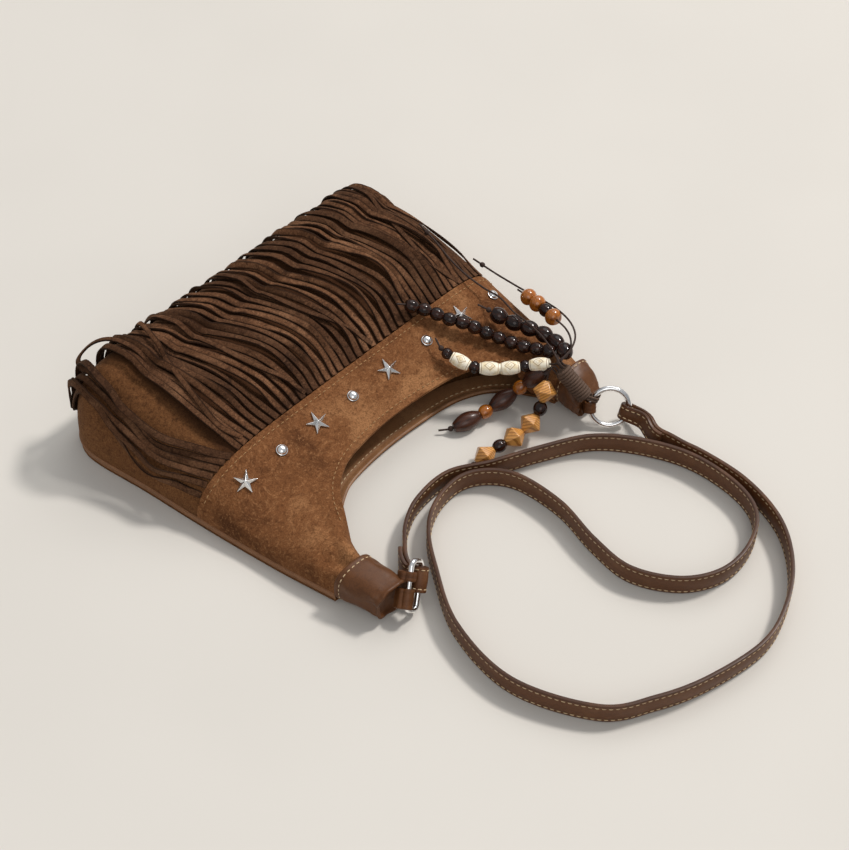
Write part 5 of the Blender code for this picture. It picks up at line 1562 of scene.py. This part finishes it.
def tassel_loop(looks):
    """The cord that ties the wrapped strands to the round ring."""
    right, slope, _ = ring_axes()
    a = math.radians(TASSEL_LOOP_AT)
    wire = ring_place(TASSEL_LOOP_AT, RING_RADIUS)
    wire_run = slope * math.cos(a) - right * math.sin(a)
    top, run = wrap_axis()
    foot = top + run * (WRAP_LENGTH + 0.4 * MM)
    reach = foot - wire
    reach = (reach - wire_run * reach.dot(wire_run)).normalized()
    side = wire_run.cross(reach)
    turn = RING_WIRE + TAB_CLEARANCE + LOOP_CORD_RADIUS
    points = [wire + (side * math.sin(b) - reach * math.cos(b)) * turn
              for b in (math.radians(-100 + 25 * step) for step in range(9))]
    apart = (side - run * side.dot(run)).normalized() * 2 * MM
    line = smooth_line([tuple(p) for p in (foot - apart, *points, foot + apart)], 0.5 * MM)
    verts, faces = [], []
    for shift in (-1, 1):
        moved = [Vector(p) + wire_run * shift * 0.85 * MM for p in line]
        more, more_faces = tube_verts(moved, LOOP_CORD_RADIUS)
        faces += [tuple(len(verts) + v for v in f) for f in more_faces]
        verts += more
    return make_piece("tassel_loop_cord", verts, faces, looks["wrap_cord"], "bag", ["tassel_loop"],
                      60)


def bead_outline(kind):
    """Half outline of a bead as (share of the length, share of the radius)."""
    if kind == "bicone":
        return [(0, 0.26), (0.02, 0.31), (0.46, 0.965), (0.5, 1.0), (0.54, 0.965), (0.98, 0.31), (1, 0.26)]
    if kind == "white":
        return [(a, 0.55 + 0.45 * math.sin(math.pi * (0.08 + 0.84 * a)) ** 0.7)
                for a in np.linspace(0, 1, 25)]
    if kind == "olive":
        return [(a, 0.36 + 0.64 * math.sin(math.pi * (0.04 + 0.92 * a)) ** 0.85)
                for a in np.linspace(0, 1, 31)]
    return [(a, 0.34 + 0.66 * math.sin(math.pi * (0.06 + 0.88 * a)) ** 0.62) for a in np.linspace(0, 1, 21)]


def bead_verts(kind, centre, run, seed):
    """A bead's vertices, faces and marks: its own place and its turn and share of the length."""
    length, radius, _ = BEADS[kind]
    if kind != "knot":
        length += BEAD_GAP * 0.8
        radius *= 1.04 + 0.03 * math.sin(seed * 2.3)
    sides = 6 if kind == "bicone" else 32
    outline_points = bead_outline(kind)
    hole = 0.8 * MM if kind != "knot" else 0.5 * MM
    profile = [(hole, outline_points[0][0])] + [(radius * r, a) for a, r in outline_points]
    profile.append((hole, outline_points[-1][0]))
    place = Matrix.Translation(centre) @ run.to_track_quat("Z", "Y").to_matrix().to_4x4()
    twist = seed * 1.7
    verts, own, turned = [], [], []
    for r, share in profile:
        z = (share - 0.5) * length
        for k in range(sides):
            angle = 2 * math.pi * k / sides + twist
            wave = 1.0
            if kind == "olive":
                wave = 1 - 0.045 * max(0.0, math.cos(6 * angle)) ** 4 * math.sin(math.pi * share)
            if kind in ("dark", "black", "spacer"):
                wave = 1 + 0.02 * ripple(seed, math.cos(angle), math.sin(angle), share * 2)
            local = Vector((r * wave * math.cos(angle), r * wave * math.sin(angle), z))
            verts.append(place @ local)
            own.append(local + Vector((seed * 0.013, seed * 0.007, seed * 0.011)))
            turned.append((k / sides, share, 0.0))
    faces = grid_faces(len(profile), sides, closed=True)
    start = (len(profile) - 1) * sides
    faces += [(start + k, start + (k + 1) % sides, (k + 1) % sides, k) for k in range(sides)]
    return verts, faces, own, turned


def bead_piece(name, kinds, places, looks, nodes):
    """One or more beads as one piece."""
    verts, faces, own, turned = [], [], [], []
    for number, (kind, (centre, run)) in enumerate(zip(kinds, places)):
        v, f, o, t = bead_verts(kind, centre, run, number + len(name))
        faces += [tuple(len(verts) + i for i in face) for face in f]
        verts += v
        own += o
        turned += t
    finish = BEADS[kinds[0]][2]
    angle = 18 if kinds[0] == "bicone" else 50
    piece = make_piece(name, verts, faces, looks[finish], "bag", nodes, angle,
                       {"bead_place": own, "bead_turn": turned})
    if kinds[0] == "bicone":
        soften_edges(piece, 0.3 * MM, 3, 15)
    return piece


def strand(name, place, route, kinds, looks):
    """A tassel cord with its dark beads, and its other beads as pieces of their own."""
    top, run = wrap_axis()
    up = (Vector((0, 0, 1)) - run * run.z).normalized()
    start = top + (run.cross(up) * place[0] + up * place[1]) * MM - run * 2 * GAP
    points = [tuple(start), tuple(start - run * 4 * MM)] + [[v * MM for v in p] for p in route]
    fine = [Vector(p) for p in smooth_line(points, 1.0 * MM)]
    step = (fine[1] - fine[0]).length
    total = step * (len(fine) - 1)

    def at(along):
        k = min(len(fine) - 2, max(0, int(along / step)))
        return fine[k].lerp(fine[k + 1], along / step - k)
    far = total - THREAD_TAIL
    number, fused, fused_places, on_cord = {}, [], [], []
    stops = [(total, at(total))]
    for kind in kinds:
        length = BEADS[kind][0]
        near = far - length
        ends = (at(far) + at(near)) / 2, (at(far) - at(near)).normalized()
        stops += [(far, at(far)), (near, at(near))]
        if kind in FUSED_BEADS:
            fused.append(kind)
            fused_places.append(ends)
        else:
            plain = kind.removeprefix("broad_")
            number[plain] = number.get(plain, 0) + 1
            label = f"{name}_{plain}_{number[plain]}"
            on_cord.append(bead_piece(f"{label}_bead", [kind], [ends], looks, [label]))
        far = near - BEAD_GAP
    stops += [(a, at(a)) for a in np.arange(0, max(far, 2 * MM), 2 * MM)]
    stops.sort(key=lambda pair: pair[0])
    line = [tuple(p) for _, p in stops]
    verts, faces = tube_verts([Vector(p) for p in line], CORD_RADIUS)
    cord = make_piece(f"{name}_cord", verts, faces, looks["cord"], "bag", [name], 60)
    dark = [k for k in fused if k != "knot"]
    if dark:
        spots = [s for k, s in zip(fused, fused_places) if k != "knot"]
        on_cord.append(bead_piece(f"{name}_dark_beads", dark, spots, looks, ()))
    if "knot" in fused:
        spots = [s for k, s in zip(fused, fused_places) if k == "knot"]
        on_cord.append(bead_piece(f"{name}_knot", ["knot"], spots, looks, ()))


# Floor, light and camera

def studio(looks):
    """Pale floor, a soft key light, a weak fill and an even room round them."""
    mesh = bpy.data.meshes.new("floor")
    size = 6.0
    mesh.from_pydata([(-size, -size, 0), (size, -size, 0), (size, size, 0), (-size, size, 0)], [],
                     [(0, 1, 2, 3)])
    mesh.materials.append(looks["floor"])
    floor = bpy.data.objects.new("floor", mesh)
    bpy.context.scene.collection.objects.link(floor)
    floor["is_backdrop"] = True
    low = min(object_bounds()[0][2], 0.0)
    floor.location.z = low - 0.1 * MM

    def lamp(name, place, target, size_m, power, colour):
        data = bpy.data.lights.new(name, "AREA")
        data.shape = "DISK"
        data.size = size_m
        data.energy = power
        data.color = colour
        made = bpy.data.objects.new(name, data)
        made.location = place
        made.rotation_euler = (Vector(target) - Vector(place)).to_track_quat("-Z", "Y").to_euler()
        bpy.context.scene.collection.objects.link(made)
    lamp("key_light", (-3.3, 0.95, 4.7), (0, 0.05, 0), 0.9, 205, (1.0, 0.97, 0.94))
    lamp("fill_light", (2.2, 2.7, 3.4), (0, 0.05, 0), 3.0, 28, (1.0, 0.99, 0.97))

    world = bpy.data.worlds.new("studio")
    bpy.context.scene.world = world
    world.use_nodes = True
    w = Wires(world.node_tree)
    shade = world.node_tree.nodes["Background"]
    direction = w.node("ShaderNodeTexCoord").outputs["Generated"]
    facing = w.node("ShaderNodeSeparateXYZ", {0: direction})
    above = w.mask(facing.outputs[2], 0.15, 0.95)
    sides = w.mask(w.maths("ABSOLUTE", facing.outputs[0]), 0.35, 0.75)
    tone = w.mix(above, (0.4, 0.41, 0.42, 1.0), (0.72, 0.74, 0.77, 1.0))
    tone = w.mix(w.maths("MULTIPLY", sides, 0.5), tone, (0.75, 0.77, 0.8, 1.0))
    panel = w.node("ShaderNodeVectorMath", {0: direction, 1: (-0.55, -0.25, 0.8)},
                   operation="DOT_PRODUCT").outputs["Value"]
    w.feed(shade, "Color", w.mix(w.mask(panel, 0.9, 0.97), tone, (3.2, 3.2, 3.2, 1.0)))
    shade.inputs["Strength"].default_value = 0.62


def camera():
    """The photograph's view."""
    data = bpy.data.cameras.new("camera")
    data.sensor_fit = "HORIZONTAL"
    data.sensor_width = SENSOR_WIDTH
    data.lens = FOCAL_LENGTH_PIXELS / IMAGE_WIDTH * SENSOR_WIDTH
    made = bpy.data.objects.new("camera", data)
    level = math.cos(CAMERA_RISE)
    back = Vector((math.sin(CAMERA_TURN) * level, -math.cos(CAMERA_TURN) * level, math.sin(CAMERA_RISE)))
    made.location = Vector(CAMERA_TARGET) + back * CAMERA_DISTANCE
    made.rotation_euler = back.to_track_quat("Z", "Y").to_euler()
    bpy.context.scene.collection.objects.link(made)
    bpy.context.scene.camera = made


def main():
    looks = make_materials()
    camera()
    strap(looks)
    for name, place, route, kinds in STRANDS:
        strand(name, place, route, kinds, looks)
    wrapping(looks)
    tassel_loop(looks)
    front_panel(looks)
    yoke_panel(looks)
    back_panel(looks)
    side_strip(looks)
    mouth_facing(looks)
    body_stitches(looks)
    fringe(looks)
    studs(looks)
    horn_cap("horn_cap_left", 1, LEFT_CAP_LENGTH, 0.05, [1.0, 1.0, 0.94, 0.88, 0.88, 0.9], looks)
    horn_cap("horn_cap_right", -1, RIGHT_CAP_LENGTH, 0.42, [1.0, 1.0, 0.95, 0.88, 0.8, 0.74], looks)
    rings(looks)
    tabs(looks)
    studio(looks)
    bpy.context.scene.view_settings.view_transform = "Standard"


main()
